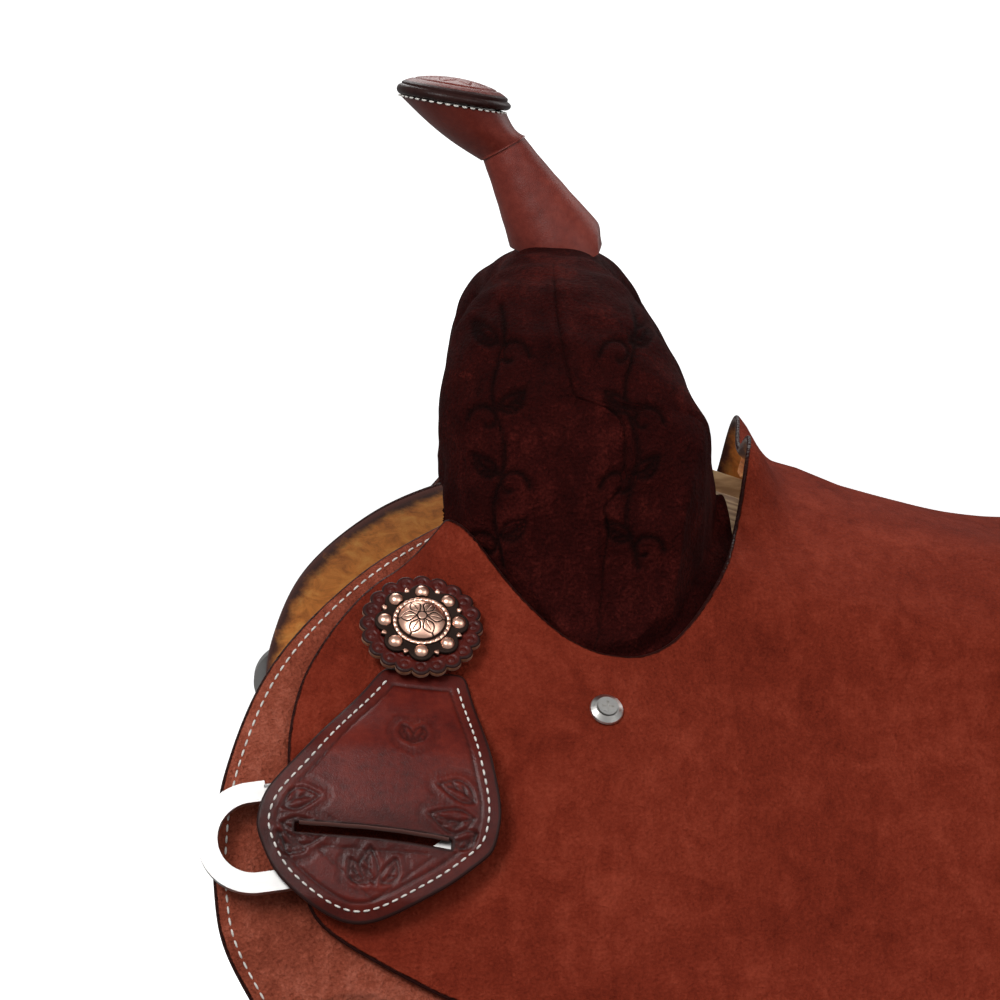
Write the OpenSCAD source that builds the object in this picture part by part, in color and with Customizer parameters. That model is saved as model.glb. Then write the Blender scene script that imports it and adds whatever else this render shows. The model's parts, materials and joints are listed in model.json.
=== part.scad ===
// A western saddle: a wooden tree covered in leather, with skirts, a padded seat,
// a leather covered horn, rigging rings, fenders and hanging stirrups.
// +X points to the horse's head, +Y to its left side and +Z up. Millimetres.
// Leather sheets are laid out flat as [x, s] outlines, where s is the distance down
// the skirt from the middle of the back, and skin() lays them on the saddle's side.

/* [Back] */
// Height that the withers rise above the lowest point of the back
withers_rise = 70; // [66:1:72]
// Height that the croup rises above the lowest point of the back
croup_rise = 17; // [14:1:20]
// Radius of the side of the saddle at the front
front_radius = 305; // [303:1:308]
// Radius of the side of the saddle from the seat back
rear_radius = 340; // [336:1:344]

/* [Leather] */
// Thickness of the skirt leather
skirt_t = 5; // [4:0.5:5.5]
// Thickness of the seat and jockey leather
seat_t = 4; // [3.5:0.5:4]
// Thickness of the wool lining under the skirts
wool_t = 15; // [12:1:16]
// Thickness of the fender leather
fender_t = 3.6; // [3:0.2:4]

/* [Horn] */
// Height of the fork's leather top above the origin
fork_top = 186; // [184:1:187]
// Lean of the horn's neck from upright, in degrees
horn_lean = 29; // [27:1:31]
// Length of the horn's neck along its lean
neck_len = 64; // [62:1:66]
// Diameter of the horn cap
cap_d = 58; // [56:1:60]

/* [Rigging] */
// Width of the front rigging ring, end to end
dee_w = 126; // [120:1:128]
// Height of the front rigging ring
dee_h = 52; // [50:1:54]
// Width of the ring's flat strip
dee_strip = 9.5; // [9:0.5:10]

/* [Stirrups] */
// Height of the stirrup's foot opening
stirrup_in_h = 118; // [110:1:124]
// Width of the stirrup's foot opening
stirrup_in_w = 122; // [118:1:126]
// Depth of the stirrup's tread
tread_d = 52; // [48:1:56]

/* [Hidden] */

gap = 0.4;                      // clearance between neighbouring leather pieces
bed = 2;                      // clearance between broad curved pieces that lie on each other
low_x = -60;                    // where the back is lowest
low_z = 28;                     // height of the skirt surface there, on the middle line
rim_x = -222;                   // rearmost point of the cantle rim
rim_s = 150;                    // distance round the cantle rim from the middle to its end
bar_t = 24;                     // thickness of the tree bars
swing_x = 45;                   // middle of the stirrup leathers
strap_y = 283;                  // middle of the hanging stirrup leathers
fender_y = 290;                 // inner face of the hanging fenders
bolt_z = -508;                  // height of the stirrup bolts

// ---- The saddle's side as a surface ----
function clamp(t) = min(1, max(0, t));
function ease(t) = (1 - cos(180 * clamp(t))) / 2;
function mix(a, b, t) = a + (b - a) * t;
function unit(v) = v / norm(v);
function spine_z(x) =
    low_z + (x > low_x ? withers_rise * ease((x - low_x) / 330) : croup_rise * ease((low_x - x) / 290));
function spine_slope(x) = (spine_z(x + 1) - spine_z(x - 1)) / 2;
function radius_at(x) = mix(front_radius, rear_radius, ease((200 - x) / 200));
function peak_at(x) = mix(10, 12, ease((200 - x) / 200));
function straight_from(x) = mix(320, 262, ease((200 - x) / 150));
function slope_at(x, s) = peak_at(x) + min(s, straight_from(x)) * 180 / (PI * radius_at(x));
function side(x, s) =
    let (r = radius_at(x), t0 = peak_at(x), t = slope_at(x, s), e = max(0, s - straight_from(x)))
    [x, r * (sin(t) - sin(t0)) + e * cos(t), spine_z(x) - r * (cos(t0) - cos(t)) - e * sin(t)];
function normal(x, s) =
    let (a = slope_at(x, s) * ease(s / 60))
    unit([-spine_slope(x) * cos(a), sin(a), cos(a)]);
function skin(x, s, h) = side(x, s) + h * normal(x, s);

// Catmull-Rom curve through a list of points, t from 0 to 1
function along(p, t) =
    let (n = len(p) - 1, i = min(n - 1, floor(t * n)), f = t * n - i,
         a = p[max(0, i - 1)], b = p[i], c = p[i + 1], d = p[min(n, i + 2)])
    0.5 * (2 * b + (c - a) * f + (2 * a - 5 * b + 4 * c - d) * f * f + (3 * b - a - 3 * c + d) * f * f * f);

// ---- Builders ----
function turned(f) = [for (k = [len(f) - 1:-1:0]) f[k]];

// A closed sheet between two grids of points given as functions of u and v from 0 to 1
module shell(nu, nv, outer, inner) {
    m = nv + 1;
    n = (nu + 1) * m;
    points = concat(
        [for (i = [0:nu], j = [0:nv]) outer(i / nu, j / nv)],
        [for (i = [0:nu], j = [0:nv]) inner(i / nu, j / nv)]);
    faces = concat(
        [for (i = [0:nu - 1], j = [0:nv - 1]) let (a = i * m + j)
            each [[a, a + 1, a + m + 1], [a, a + m + 1, a + m]]],
        [for (i = [0:nu - 1], j = [0:nv - 1]) let (a = n + i * m + j)
            each [[a, a + m + 1, a + 1], [a, a + m, a + m + 1]]],
        [for (j = [0:nv - 1]) each [[j, n + j, n + j + 1], [j, n + j + 1, j + 1]]],
        [for (j = [0:nv - 1]) let (a = nu * m + j)
            each [[a, n + a + 1, n + a], [a, a + 1, n + a + 1]]],
        [for (i = [0:nu - 1]) let (a = i * m) each [[a, n + a + m, n + a], [a, a + m, n + a + m]]],
        [for (i = [0:nu - 1]) let (a = i * m + nv)
            each [[a, n + a, n + a + m], [a, n + a + m, a + m]]]);
    polyhedron(points, [for (f = faces) turned(f)], convexity = 10);
}

// A sheet on the saddle's side between two edges, from offset h0 up to h1 above the skin
module leather(top, bottom, h0, h1, nu = 20, nv = 8) {
    shell(nu, nv,
        function (u, v) let (p = mix(along(top, u), along(bottom, u), v)) skin(p.x, p.y, h1(p.x, p.y)),
        function (u, v) let (p = mix(along(top, u), along(bottom, u), v)) skin(p.x, p.y, h0(p.x, p.y)));
}

function middle_of(ring) = [for (r = ring) 1] * ring / len(ring);

// A closed solid through rings that have the same number of points
module loft(rings) {
    m = len(rings[0]);
    k = len(rings);
    last = (k - 1) * m;
    points = concat([for (r = rings) each r], [middle_of(rings[0]), middle_of(rings[k - 1])]);
    faces = concat(
        [for (j = [0:m - 1]) [k * m, (j + 1) % m, j]],
        [for (i = [0:k - 2], j = [0:m - 1]) let (a = i * m + j, b = i * m + (j + 1) % m)
            each [[a, b, b + m], [a, b + m, a + m]]],
        [for (j = [0:m - 1]) [k * m + 1, last + j, last + (j + 1) % m]]);
    polyhedron(points, [for (f = faces) turned(f)], convexity = 10);
}

// Children drawn on the plane that touches the skin at x, s: local +Z outwards, +X forwards, +Y down
module on_skin(x, s, h = 0, turn = 0) {
    o = skin(x, s, h);
    n = normal(x, s);
    f = unit(cross(cross(n, [1, 0, 0]), n));
    d = cross(n, f);
    multmatrix([[f.x, d.x, n.x, o.x], [f.y, d.y, n.y, o.y], [f.z, d.z, n.z, o.z], [0, 0, 0, 1]])
        rotate(turn) children();
}

module right() { mirror([0, 1, 0]) children(); }
module pair() {
    children();
    right() children();
}
module ring(r_out, r_in, length) {
    difference() {
        cylinder(r = r_out, h = length, center = true);
        cylinder(r = r_in, h = length + 2, center = true);
    }
}
// The same point on the left for s above 0 and on the right below it
function flip(p, s) = [p.x, (s < 0 ? -1 : 1) * p.y, p.z];

// ---- Skirts and wool ----
skirt_top = [[333, 296], [329, 258], [310, 203], [274, 151], [226, 100], [190, 56], [120, 44],
             [0, 42], [-120, 42], [-215, 36], [-285, 14], [-346, 14]];
skirt_bottom = [[333, 306], [329, 335], [316, 362], [296, 392], [265, 418], [225, 430], [130, 408],
                [0, 376], [-110, 366], [-215, 378], [-305, 362], [-350, 290]];
wool_top = [[318, 300], [312, 262], [290, 222], [250, 176], [208, 130], [170, 80], [110, 52],
            [0, 48], [-120, 48], [-215, 42], [-285, 22], [-338, 22]];
wool_bottom = [[318, 312], [316, 336], [303, 360], [284, 386], [256, 408], [220, 420], [130, 399],
               [0, 368], [-110, 358], [-215, 369], [-300, 353], [-342, 286]];

module skirt() {
    color("sienna")
        leather(skirt_top, skirt_bottom, function (x, s) -skirt_t, function (x, s) 0, 26, 8);
}

module wool() {
    color("moccasin")
        leather(wool_top, wool_bottom, function (x, s) -skirt_t - bed - wool_t,
            function (x, s) -skirt_t - bed, 18, 6);
}

lace_len = 44;                  // length of each lace across the gap between the skirts
module skirt_lace() {
    color("saddlebrown")
        for (x = [-300, -318, -336])
            shell(1, 8,
                function (u, v) let (s = (v - 0.5) * lace_len) flip(skin(x - (u - 0.5) * 7, abs(s), 2), s),
                function (u, v) let (s = (v - 0.5) * lace_len) flip(skin(x - (u - 0.5) * 7, abs(s), gap), s));
}

// ---- Tree ----
bar_top = [[236, 84], [215, 62], [120, 50], [0, 48], [-120, 48], [-225, 48], [-266, 74]];
bar_bottom = [[236, 112], [215, 165], [120, 172], [0, 152], [-120, 158], [-225, 156], [-266, 112]];
bar_h = function (x, s)
    max(3, bar_t - 19 * ease((s - 118) / 54) - 9 * ease((x - 190) / 46) - 10 * ease((-210 - x) / 56));

module tree_bar() {
    color("burlywood")
        leather(bar_top, bar_bottom, function (x, s) bed, bar_h, 16, 8);
}

tuck_h = 6.6;                     // how far the fork stays under the seat leather's outer face
tuck_s = 5.5;                   // how far above the seat leather's edge it starts to bulge again
// Moves a point along the skin's normal until it is under the seat leather, where that covers it,
// and clear of the tree bar
function lift(p, clear, grow) =
    let (r = radius_at(p.x), t0 = peak_at(p.x), yc = -r * sin(t0), zc = spine_z(p.x) - r * cos(t0),
         t = atan2(p.y - yc, p.z - zc), s = (t - t0) * PI * r / 180,
         most = seat_h(p.x, s) + grow - tuck_h + 3 * max(0, lookup(p.x, seat_top) - s - tuck_s),
         h = max(min(norm([p.y - yc, p.z - zc]) - r, most), bar_h(p.x, s) + clear))
    p.y < 58 ? p : [p.x, yc + (r + h) * sin(t), zc + (r + h) * cos(t)];

// Fork stations from the top of the arch to the foot: [y, z, front x, rear x, depth]
fork_path = [[0, fork_top, 197, 153, 40], [42, fork_top - 2, 205, 146, 40],
             [84, fork_top - 12, 219, 132, 42], [120, 152, 227, 119, 48], [145, 122, 229, 111, 58],
             [155, 94, 227, 108, 66], [157, 68, 222, 111, 34], [155, 44, 210, 121, 22],
             [158, 22, 192, 134, 12], [166, 5, 172, 152, 6]];
fork_foot = 0.72;               // how far down the path the wooden fork goes
function fork_out(t) =
    let (a = along(fork_path, max(0, t - 0.02)), b = along(fork_path, min(1, t + 0.02)),
         d = unit([b[0] - a[0], b[1] - a[1]]))
    t < 0.01 ? [0, 1] : [-d.y, d.x];
// A point on the fork's rounded cross section: w from -1 at the rear to 1 at the front
function fork_point(t, w, grow, clear) =
    let (p = along(fork_path, t), n = fork_out(t),
         middle = (p[2] + p[3]) / 2, half = (p[2] - p[3]) / 2 + grow,
         across = half * sign(w) * pow(abs(sin(90 * w)), 0.75),
         out = grow + p[4] * (pow(cos(90 * w), 0.55) - 1))
    lift([middle + across, p[0] + n.x * out, p[1] + n.y * out], clear, grow);

// The arch's underside, from the gullet's crown down to the top of the bars: [y, z]
gullet_path = [[0, 143], [24, 140], [42, 129], [53, 110], [60, 95]];
over_bar = 5;                   // clearance of the fork's foot over the bars
gullet_end = 0.5;               // how far down the fork's path the open arch goes
function gullet_point(t, x) =
    let (g = along(gullet_path, min(1, t / gullet_end)),
         s = mix(57, 122, (t - gullet_end) / (fork_foot - gullet_end)))
    t <= gullet_end
        ? [x, g.x, g.y + (spine_z(x) - 82) * ease(t / gullet_end)]
        : skin(x, s, bar_h(x, s) + over_bar);

function fork_ring(t) =
    let (p = along(fork_path, t), m = 12, inside = bed + 0.6 + 4 * ease((t - 0.5) / 0.2))
    concat([for (i = [0:m]) fork_point(t, -1 + 2 * i / m, -inside, 1)],
           [for (x = [p[2] - 5, (p[2] + p[3]) / 2, p[3] + 5]) gullet_point(t, x)]);

module tree_fork() {
    color("burlywood")
        loft([for (i = [-20:20]) let (t = fork_foot * abs(i) / 20) [for (q = fork_ring(t)) flip(q, i)]]);
}

module swell_cover() {
    color("brown")
        shell(40, 14,
            function (u, v) let (t = 2 * u - 1) flip(fork_point(abs(t), 2 * v - 1, 2.8, 4.6), t),
            function (u, v) let (t = 2 * u - 1) flip(fork_point(abs(t), 2 * v - 1, gap, 2.8), t));
}

liner_t = 2.4;                  // thickness of the gullet lining
module gullet_liner() {
    color("peru")
        shell(20, 4,
            function (u, v) liner_point(2 * u - 1, v, bed),
            function (u, v) liner_point(2 * u - 1, v, bed + liner_t));
}
function liner_point(t, v, drop) =
    let (a = abs(t) * 0.44, p = along(fork_path, a), x = mix(p[3] + 6, p[2] - 6, v),
         q = gullet_point(a, x), b = gullet_point(a + 0.02, x), d = unit([b.y - q.y, b.z - q.z]))
    flip([x, max(0, q.y + d.y * drop), q.z - d.x * drop], t);

// ---- Seat ----
seat_line = [[-222, 46], [-130, 45], [-90, 43], [-48, 46], [-23, 52], [2, 60], [37, 70], [62, 80], [84, 86],
             [102, 99]];
rise_len = 108;                 // length over which the seat rises to the cantle rim
function cantle_rise(w, s) =
    (118 - 62 * pow(clamp(s / rim_s), 2)) * pow(1 - clamp((w - rim_x) / rise_len), 2.1);
function jockey_h(x) = x > 45 ? mix(12, 1.4, ease((x - 150) / 70)) : mix(12, 6.5, ease((-60 - x) / 90));
function seat_h(x, s) =
    let (middle = lookup(x, seat_line) - spine_z(x) - seat_t,
         bars = (bar_t + 5.6 + 4 * ease((90 - x) / 60)) * (1 - ease((x - 215) / 40)),
         lip = 22 * ease((x - 66) / 34) * ease(1 - abs(s - 52) / 50),
         near_x = ease((x - 120) / 30) * ease((238 - x) / 30),
         near_s = ease((s - 110) / 24) * ease((206 - s) / 26))
    mix(mix(middle, bars, ease(s / 75)), jockey_h(x), ease((s - 118) / 70)) + lip + 1.5 * near_x * near_s;
function seat_x(w, s) = w + 52 * pow(clamp(s / rim_s), 2) * ease((low_x - w) / 150);
function seat_point(w, s, h) =
    let (x = seat_x(w, s)) skin(x, s, seat_h(x, s) + h) + [0, 0, cantle_rise(w, s)];

// Upper edge: round the swell from the front corner, then back along the middle line
seat_top = [[230, 128], [212, 147], [192, 165], [172, 180], [156, 184], [138, 178], [121, 160], [106, 128],
            [99, 92], [98, 55], [92, 0], [60, 0], [20, 0], [-20, 0], [-60, 0], [-100, 0], [-140, 0],
            [-175, 0], [-200, 0], [-222, 0]];
seat_bottom = [[233, 131], [263, 158], [288, 198], [298, 230], [299, 264], [292, 310], [280, 333], [236, 357],
               [192, 368], [150, 373], [100, 366], [50, 351], [10, 340], [-30, 328], [-70, 314],
               [-108, 292], [-145, 256], [-180, 206], [-205, 172], [-222, 150]];
seat_nu = 38;                   // grid steps along the seat; the middle line starts half way
seat_nv = 9;                    // grid steps from the middle line down to the jockey's edge

module seat_cover() {
    m = seat_nv + 1;
    n = (seat_nu + 1) * m;
    seam = ceil(seat_nu * 10 / 19);
    function grid(h) = [for (i = [0:seat_nu], j = [0:seat_nv])
        let (p = mix(along(seat_top, i / seat_nu), along(seat_bottom, i / seat_nu), j / seat_nv))
        seat_point(p.x, i >= seam && j == 0 ? 0 : max(0, p.y), h)];
    left = concat(grid(seat_t), grid(0));
    // index of a grid point: k 0 for the top and 1 for the underside, d 0 for left and 1 for right
    function at(i, j, k, d) = k * n + i * m + j + (d == 1 && !(j == 0 && i >= seam) ? 2 * n : 0);
    function quad(a, b, c, e, d) = d == 0 ? [[a, b, c], [a, c, e]] : [[a, c, b], [a, e, c]];
    faces = [for (d = [0, 1]) each concat(
        [for (i = [0:seat_nu - 1], j = [0:seat_nv - 1])
            each quad(at(i, j, 0, d), at(i, j + 1, 0, d), at(i + 1, j + 1, 0, d), at(i + 1, j, 0, d), d)],
        [for (i = [0:seat_nu - 1], j = [0:seat_nv - 1])
            each quad(at(i, j, 1, d), at(i + 1, j, 1, d), at(i + 1, j + 1, 1, d), at(i, j + 1, 1, d), d)],
        [for (j = [0:seat_nv - 1])
            each quad(at(0, j, 0, d), at(0, j, 1, d), at(0, j + 1, 1, d), at(0, j + 1, 0, d), d)],
        [for (j = [0:seat_nv - 1])
            each quad(at(seat_nu, j, 0, d), at(seat_nu, j + 1, 0, d),
                at(seat_nu, j + 1, 1, d), at(seat_nu, j, 1, d), d)],
        [for (i = [0:seam - 1])
            each quad(at(i, 0, 0, d), at(i + 1, 0, 0, d), at(i + 1, 0, 1, d), at(i, 0, 1, d), d)],
        [for (i = [0:seat_nu - 1])
            each quad(at(i, seat_nv, 0, d), at(i, seat_nv, 1, d),
                at(i + 1, seat_nv, 1, d), at(i + 1, seat_nv, 0, d), d)])];
    color("sienna")
        difference() {
            polyhedron(concat(left, [for (p = left) [p.x, -p.y, p.z]]), [for (f = faces) turned(f)],
                convexity = 10);
            pair() seat_screw_at() cylinder(r = 2.3, h = 40, center = true);
        }
}
module seat_screw_at() { on_skin(156, 214) children(); }

module ground_seat() {
    color("tan")
        shell(16, 8,
            function (u, v) let (s = (v - 0.5) * 84) flip(seat_point(mix(88, -150, u), abs(s), -7.8), s),
            function (u, v) let (s = (v - 0.5) * 84) flip(seat_point(mix(88, -150, u), abs(s), -9.8), s));
}
foam_w = 92;                    // width of the seat's foam, between the bars
module seat_foam() {
    color("silver")
        shell(16, 8,
            function (u, v) let (s = (v - 0.5) * foam_w) flip(seat_point(mix(60, -165, u), abs(s), -2.2), s),
            function (u, v) let (s = (v - 0.5) * foam_w) flip(seat_point(mix(60, -165, u), abs(s), -6.4), s));
}

// ---- Cantle: s runs from the right end of the rim to the left ----
cantle_t = 20;                  // thickness of the wooden cantle at its rim
function rim(s) = seat_point(rim_x, abs(s), 0);
function cantle_base(s, back, up) =
    let (x = rim(s).x - back, a = abs(s)) skin(x, a, mix(12, bar_t, ease((a - 20) / 28)) + up);
function cantle_rear(s, v, back) =
    let (low = cantle_base(s, cantle_t + back, 2 + back), high = rim(s) - [cantle_t + back, 0, 13])
    flip(mix(low, high, v), s);

module tree_cantle() {
    color("burlywood")
        shell(24, 6,
            function (u, v) cantle_rear(mix(-140, 140, u), v, 0),
            function (u, v) let (s = mix(-140, 140, u), p = seat_point(mix(-172, -219, v), abs(s), -1.5))
                flip(v == 0 ? [p.x, p.y, max(p.z - 3, cantle_base(s, cantle_t, 2).z)] : p, s));
}
module cantle_back() {
    color("sienna")
        shell(24, 6,
            function (u, v) cantle_rear(mix(-148, 148, u), v, 4.4),
            function (u, v) cantle_rear(mix(-148, 148, u), v, 1));
}
roll_w = 15;                    // half width of the cantle roll
module cantle_roll() {
    color("saddlebrown")
        loft([for (i = [-16:16])
            let (s = i * 9.6, c = rim(s), k = 1 - 0.55 * pow(abs(i) / 16, 6))
            [for (j = [0:13]) let (a = -360 * j / 14)
                flip([c.x - roll_w - gap + roll_w * k * cos(a), c.y, c.z - 2 + 7 * k * sin(a)], s)]]);
}

jockey_front = [[-112, 226], [-124, 190], [-148, 166], [-201, 150], [-216, 135], [-238, 95], [-251, 50],
                [-256, 3]];
jockey_rear = [[-212, 260], [-262, 254], [-300, 222], [-322, 170], [-332, 120], [-334, 80], [-334, 40],
               [-332, 3]];
rear_jockey_h = function (x, s)
    1.4 + 24 * ease((x + 300) / 40) * ease((190 - s) / 34) + 2 * ease((60 - s) / 30);
module rear_jockey() {
    color("sienna")
        leather(jockey_front, jockey_rear, rear_jockey_h, function (x, s) rear_jockey_h(x, s) + seat_t, 16, 8);
}

// ---- Horn ----
neck_foot = [174, 0, fork_top + 3.4];
cap_mid = [225, 0, 262];        // middle of the horn cap
cap_tilt = -9.7;                // lean of the cap, front edge high
post_r = 8;                     // radius of the steel post
module on_neck() { translate(neck_foot) rotate([0, horn_lean, 0]) children(); }
module on_cap() { translate(cap_mid) rotate([0, cap_tilt, 0]) children(); }

module horn_core() {
    color("gray") {
        intersection() {
            on_neck() translate([0, 0, -10]) cylinder(r = post_r, h = 86);
            translate([215, 0, neck_foot.z + 40]) cube([120, 40, 80], center = true);
        }
        translate(neck_foot + [2, 0, 0.2]) cylinder(r = 16, h = 3);
        on_cap() translate([0, 0, -3]) cylinder(r = 22, h = 5);
    }
}
module horn_neck_cover() {
    color("saddlebrown")
        difference() {
            on_neck() translate([0, 0, -12]) rotate_extrude() polygon([
                [post_r + gap, 0], [24, 0], [22.5, 13], [18.5, 30], [14.2, 50], [11.6, neck_len],
                [10.6, neck_len + 8], [post_r + gap, neck_len + 8]]);
            translate(neck_foot + [0, 0, -40 + 4]) cube([120, 120, 80], center = true);
        }
}
module horn_cap_under() {
    color("saddlebrown")
        difference() {
            hull() {
                on_cap() translate([0, 0, -4.4]) cylinder(r = cap_d / 2 - 2, h = 1, $fn = 32);
                on_neck() translate([0, 0, neck_len - 2]) cylinder(r = 11, h = 1, $fn = 32);
            }
            on_neck() cylinder(r = post_r + gap, h = 120);
            translate(cap_mid + [0, 0, 20]) rotate([0, cap_tilt, 0]) translate([0, 0, -3.4])
                cube([90, 90, 40], center = true);
        }
}
module horn_cap_rim() {
    color("#3a1c14")
        on_cap() difference() {
            rotate_extrude() translate([cap_d / 2 - 3, 0]) circle(3);
            translate([0, 0, -4]) cylinder(r = cap_d / 2 - 4.4, h = 8);
        }
}
module horn_cap_top() {
    color("saddlebrown")
        on_cap() translate([0, 0, 3.4]) intersection() {
            cylinder(r = cap_d / 2 - 2, h = 20);
            translate([0, 0, 11 - 43]) sphere(r = 43, $fn = 64);
        }
}

// ---- Front rigging ----
dee_t = 4.5;                    // thickness of the ring
dee_at = [277, 287];            // middle of the ring on the skin
dee_turn = 8;                   // slope of the ring, rear end high
bar_r = 3.5;                    // radius of the ring's straight bar
bar_len = 58;                   // length of the ring's straight bar
dee_lift = 10.9;                // height of the ring's middle plane above the skin
loop_t = 2;                     // thickness of the leather wrapped round the bar
dee_bar_y = dee_strip / 2 - dee_h / 2;
module on_dee() { on_skin(dee_at.x, dee_at.y, dee_lift, dee_turn) children(); }
module stadium(w, h) {
    square([w - h, h], center = true);
    for (x = [-1, 1]) translate([x * (w - h) / 2, 0]) circle(h / 2);
}
module rigging_dee() {
    color("lightsteelblue")
        on_dee() {
            difference() {
                linear_extrude(dee_t, center = true) difference() {
                    stadium(dee_w, dee_h);
                    stadium(dee_w - 2 * dee_strip, dee_h - 2 * dee_strip);
                }
                translate([0, dee_bar_y, 0]) cube([bar_len, dee_strip + 2, dee_t + 2], center = true);
            }
            translate([0, dee_bar_y, 0]) rotate([0, 90, 0])
                cylinder(r = bar_r, h = bar_len + 1, center = true);
        }
}
cover_t = 3;                    // thickness of the ring's leather cover
cover_h = function (x, s)
    mix(5.8, 17.8, ease((s - 216) / 40)) - 2 * ease((s - 276) / 24) - 3.6 * ease((s - 318) / 14);
module rigging_strap() {
    color("sienna") {
        leather([[262, 234], [232, 234]], [[300, 264.5], [260.7, 259]],
            function (x, s) 6, function (x, s) cover_h(x, s) - 1.8, 4, 6);
        on_dee() translate([0, dee_bar_y, 0]) rotate([0, 90, 0]) ring(bar_r + 0.05 + loop_t, bar_r + 0.05, 44);
    }
}
module dee_cover() {
    color("brown")
        difference() {
            shell(14, 12, function (u, v) cover_point(u, v, cover_t), function (u, v) cover_point(u, v, 0));
            on_skin(260, 291, 16, -4) cube([70, 3.9, 30], center = true);
        }
}
// u from the front edge to the rear, v from the neck to the point
cover_neck = [[256, 207], [247, 208], [238, 208.5], [228, 208], [219, 207]];
cover_tip = [[313, 288], [300, 312], [267, 331], [231, 315], [206, 294]];
cover_front = [[256, 207], [271, 228], [290, 252], [308, 272], [313, 288]];
cover_back = [[219, 207], [213, 230], [207, 254], [203, 276], [206, 294]];
function cover_point(u, v, up) =
    let (a = along(cover_front, v), b = along(cover_back, v), n = along(cover_neck, u), t = along(cover_tip, u),
         c = mix(mix(cover_neck[0], cover_neck[4], u), mix(cover_tip[0], cover_tip[4], u), v),
         p = mix(a, b, u) + mix(n, t, v) - c)
    skin(p.x, p.y, cover_h(p.x, p.y) + up);

scallops = 20;                  // scallops round a rosette
module rosette(r, t) {
    linear_extrude(t) {
        circle(r - 3);
        for (i = [0:scallops - 1]) rotate(360 * i / scallops) translate([r - 4.5, 0]) circle(4.5);
    }
}
module concho(r) {
    linear_extrude(1.6) {
        circle(0.86 * r);
        for (i = [0:7]) rotate(45 * i) translate([0.72 * r, 0]) circle(0.28 * r);
    }
    translate([0, 0, 1.6]) intersection() {
        cylinder(r = 0.55 * r, h = 5);
        translate([0, 0, 3 - 1.2 * r]) sphere(r = 1.2 * r, $fn = 48);
    }
}
rosette_r = 28.8;               // radius of the front rosettes
module front_rosettes() { color("saddlebrown") pair() on_skin(239.5, 187, 11.9) rosette(rosette_r, 3); }
module conchos() {
    color("peru") pair() {
        on_skin(239.5, 187, 15.3) concho(22.2);
        on_skin(-222, 222, 12.8) concho(18);
    }
}
module rear_rosettes() { color("saddlebrown") pair() on_skin(-222, 222, 9.4) rosette(24, 3); }

screw_h = 16.8;                 // height of the seat screws' washers above the skin
module seat_washers() {
    color("silver") pair() seat_screw_at() translate([0, 0, screw_h]) rotate_extrude()
        polygon([[2.4, 0], [8, 0], [7.6, 1], [5.4, 2.6], [4.9, 2.6], [2.4, 1.4]]);
}
module seat_screws() {
    color("silver") pair() seat_screw_at() {
        translate([0, 0, 1]) cylinder(r = 2, h = screw_h + 1);
        difference() {
            translate([0, 0, screw_h + 1.6]) cylinder(r1 = 2, r2 = 4.6, h = 1.7);
            for (a = [0, 90]) rotate(a) translate([0, 0, screw_h + 3]) cube([5.6, 1.1, 1.6], center = true);
        }
    }
}

// ---- Flank rigging ----
flank_at = [-220, 290];         // middle of the flank ring's bar on the skin
flank_lift = 7.2;               // height of the flank ring above the skin
flank_r = 27;                   // radius of the flank ring's bend
wire_r = 3.2;                   // radius of the flank ring's wire
module on_flank() { on_skin(flank_at.x, flank_at.y, flank_lift) children(); }
module flank_dee() {
    color("lightsteelblue") on_flank() {
        rotate_extrude(angle = 180) translate([flank_r, 0]) circle(wire_r);
        rotate([0, 90, 0]) cylinder(r = wire_r, h = 2 * flank_r, center = true);
        for (x = [-1, 1]) translate([x * flank_r, 0, 0]) sphere(r = wire_r, $fn = 32);
    }
}
module flank_strap() {
    color("sienna") {
        leather([[-202, 206], [-242, 206]], [[-202, 284.6], [-238, 287.4]],
            function (x, s) 5.8, function (x, s) 8.9, 4, 8);
        on_flank() rotate([0, 90, 0]) ring(wire_r + 0.05 + loop_t, wire_r + 0.05, 38);
    }
}

// ---- Fenders and stirrups ----
top_h = 3.4;                    // height of the upper leather above the skirt
module leather_top() {
    color("sienna")
        leather([[swing_x + 38, 180], [swing_x + 10, 180], [swing_x - 10, 180], [swing_x - 38, 180]],
            [[swing_x + 44, 369], [swing_x + 12, 366], [swing_x - 12, 363], [swing_x - 44, 359]],
            function (x, s) top_h, function (x, s) top_h + 4, 6, 14);
}
fender_edge = [[1, -197], [44, -197], [60, -215], [84, -252], [99, -300], [97, -350], [76, -392], [50, -424],
               [40, -446], [0, -448]];
module upright(t, y) { translate([swing_x, y + t, 0]) rotate([90, 0, 0]) linear_extrude(t) children(); }
edge_n = 24;                    // points along one half of a mirrored edge
// Points along an edge and back along its mirror image
function across(edge) =
    concat([for (i = [0:edge_n]) along(edge, i / edge_n)],
        [for (i = [edge_n - 1:-1:0]) let (p = along(edge, i / edge_n)) [-p.x, p.y]]);
module fender() { color("sienna") upright(fender_t, fender_y) polygon(across(fender_edge)); }

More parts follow.
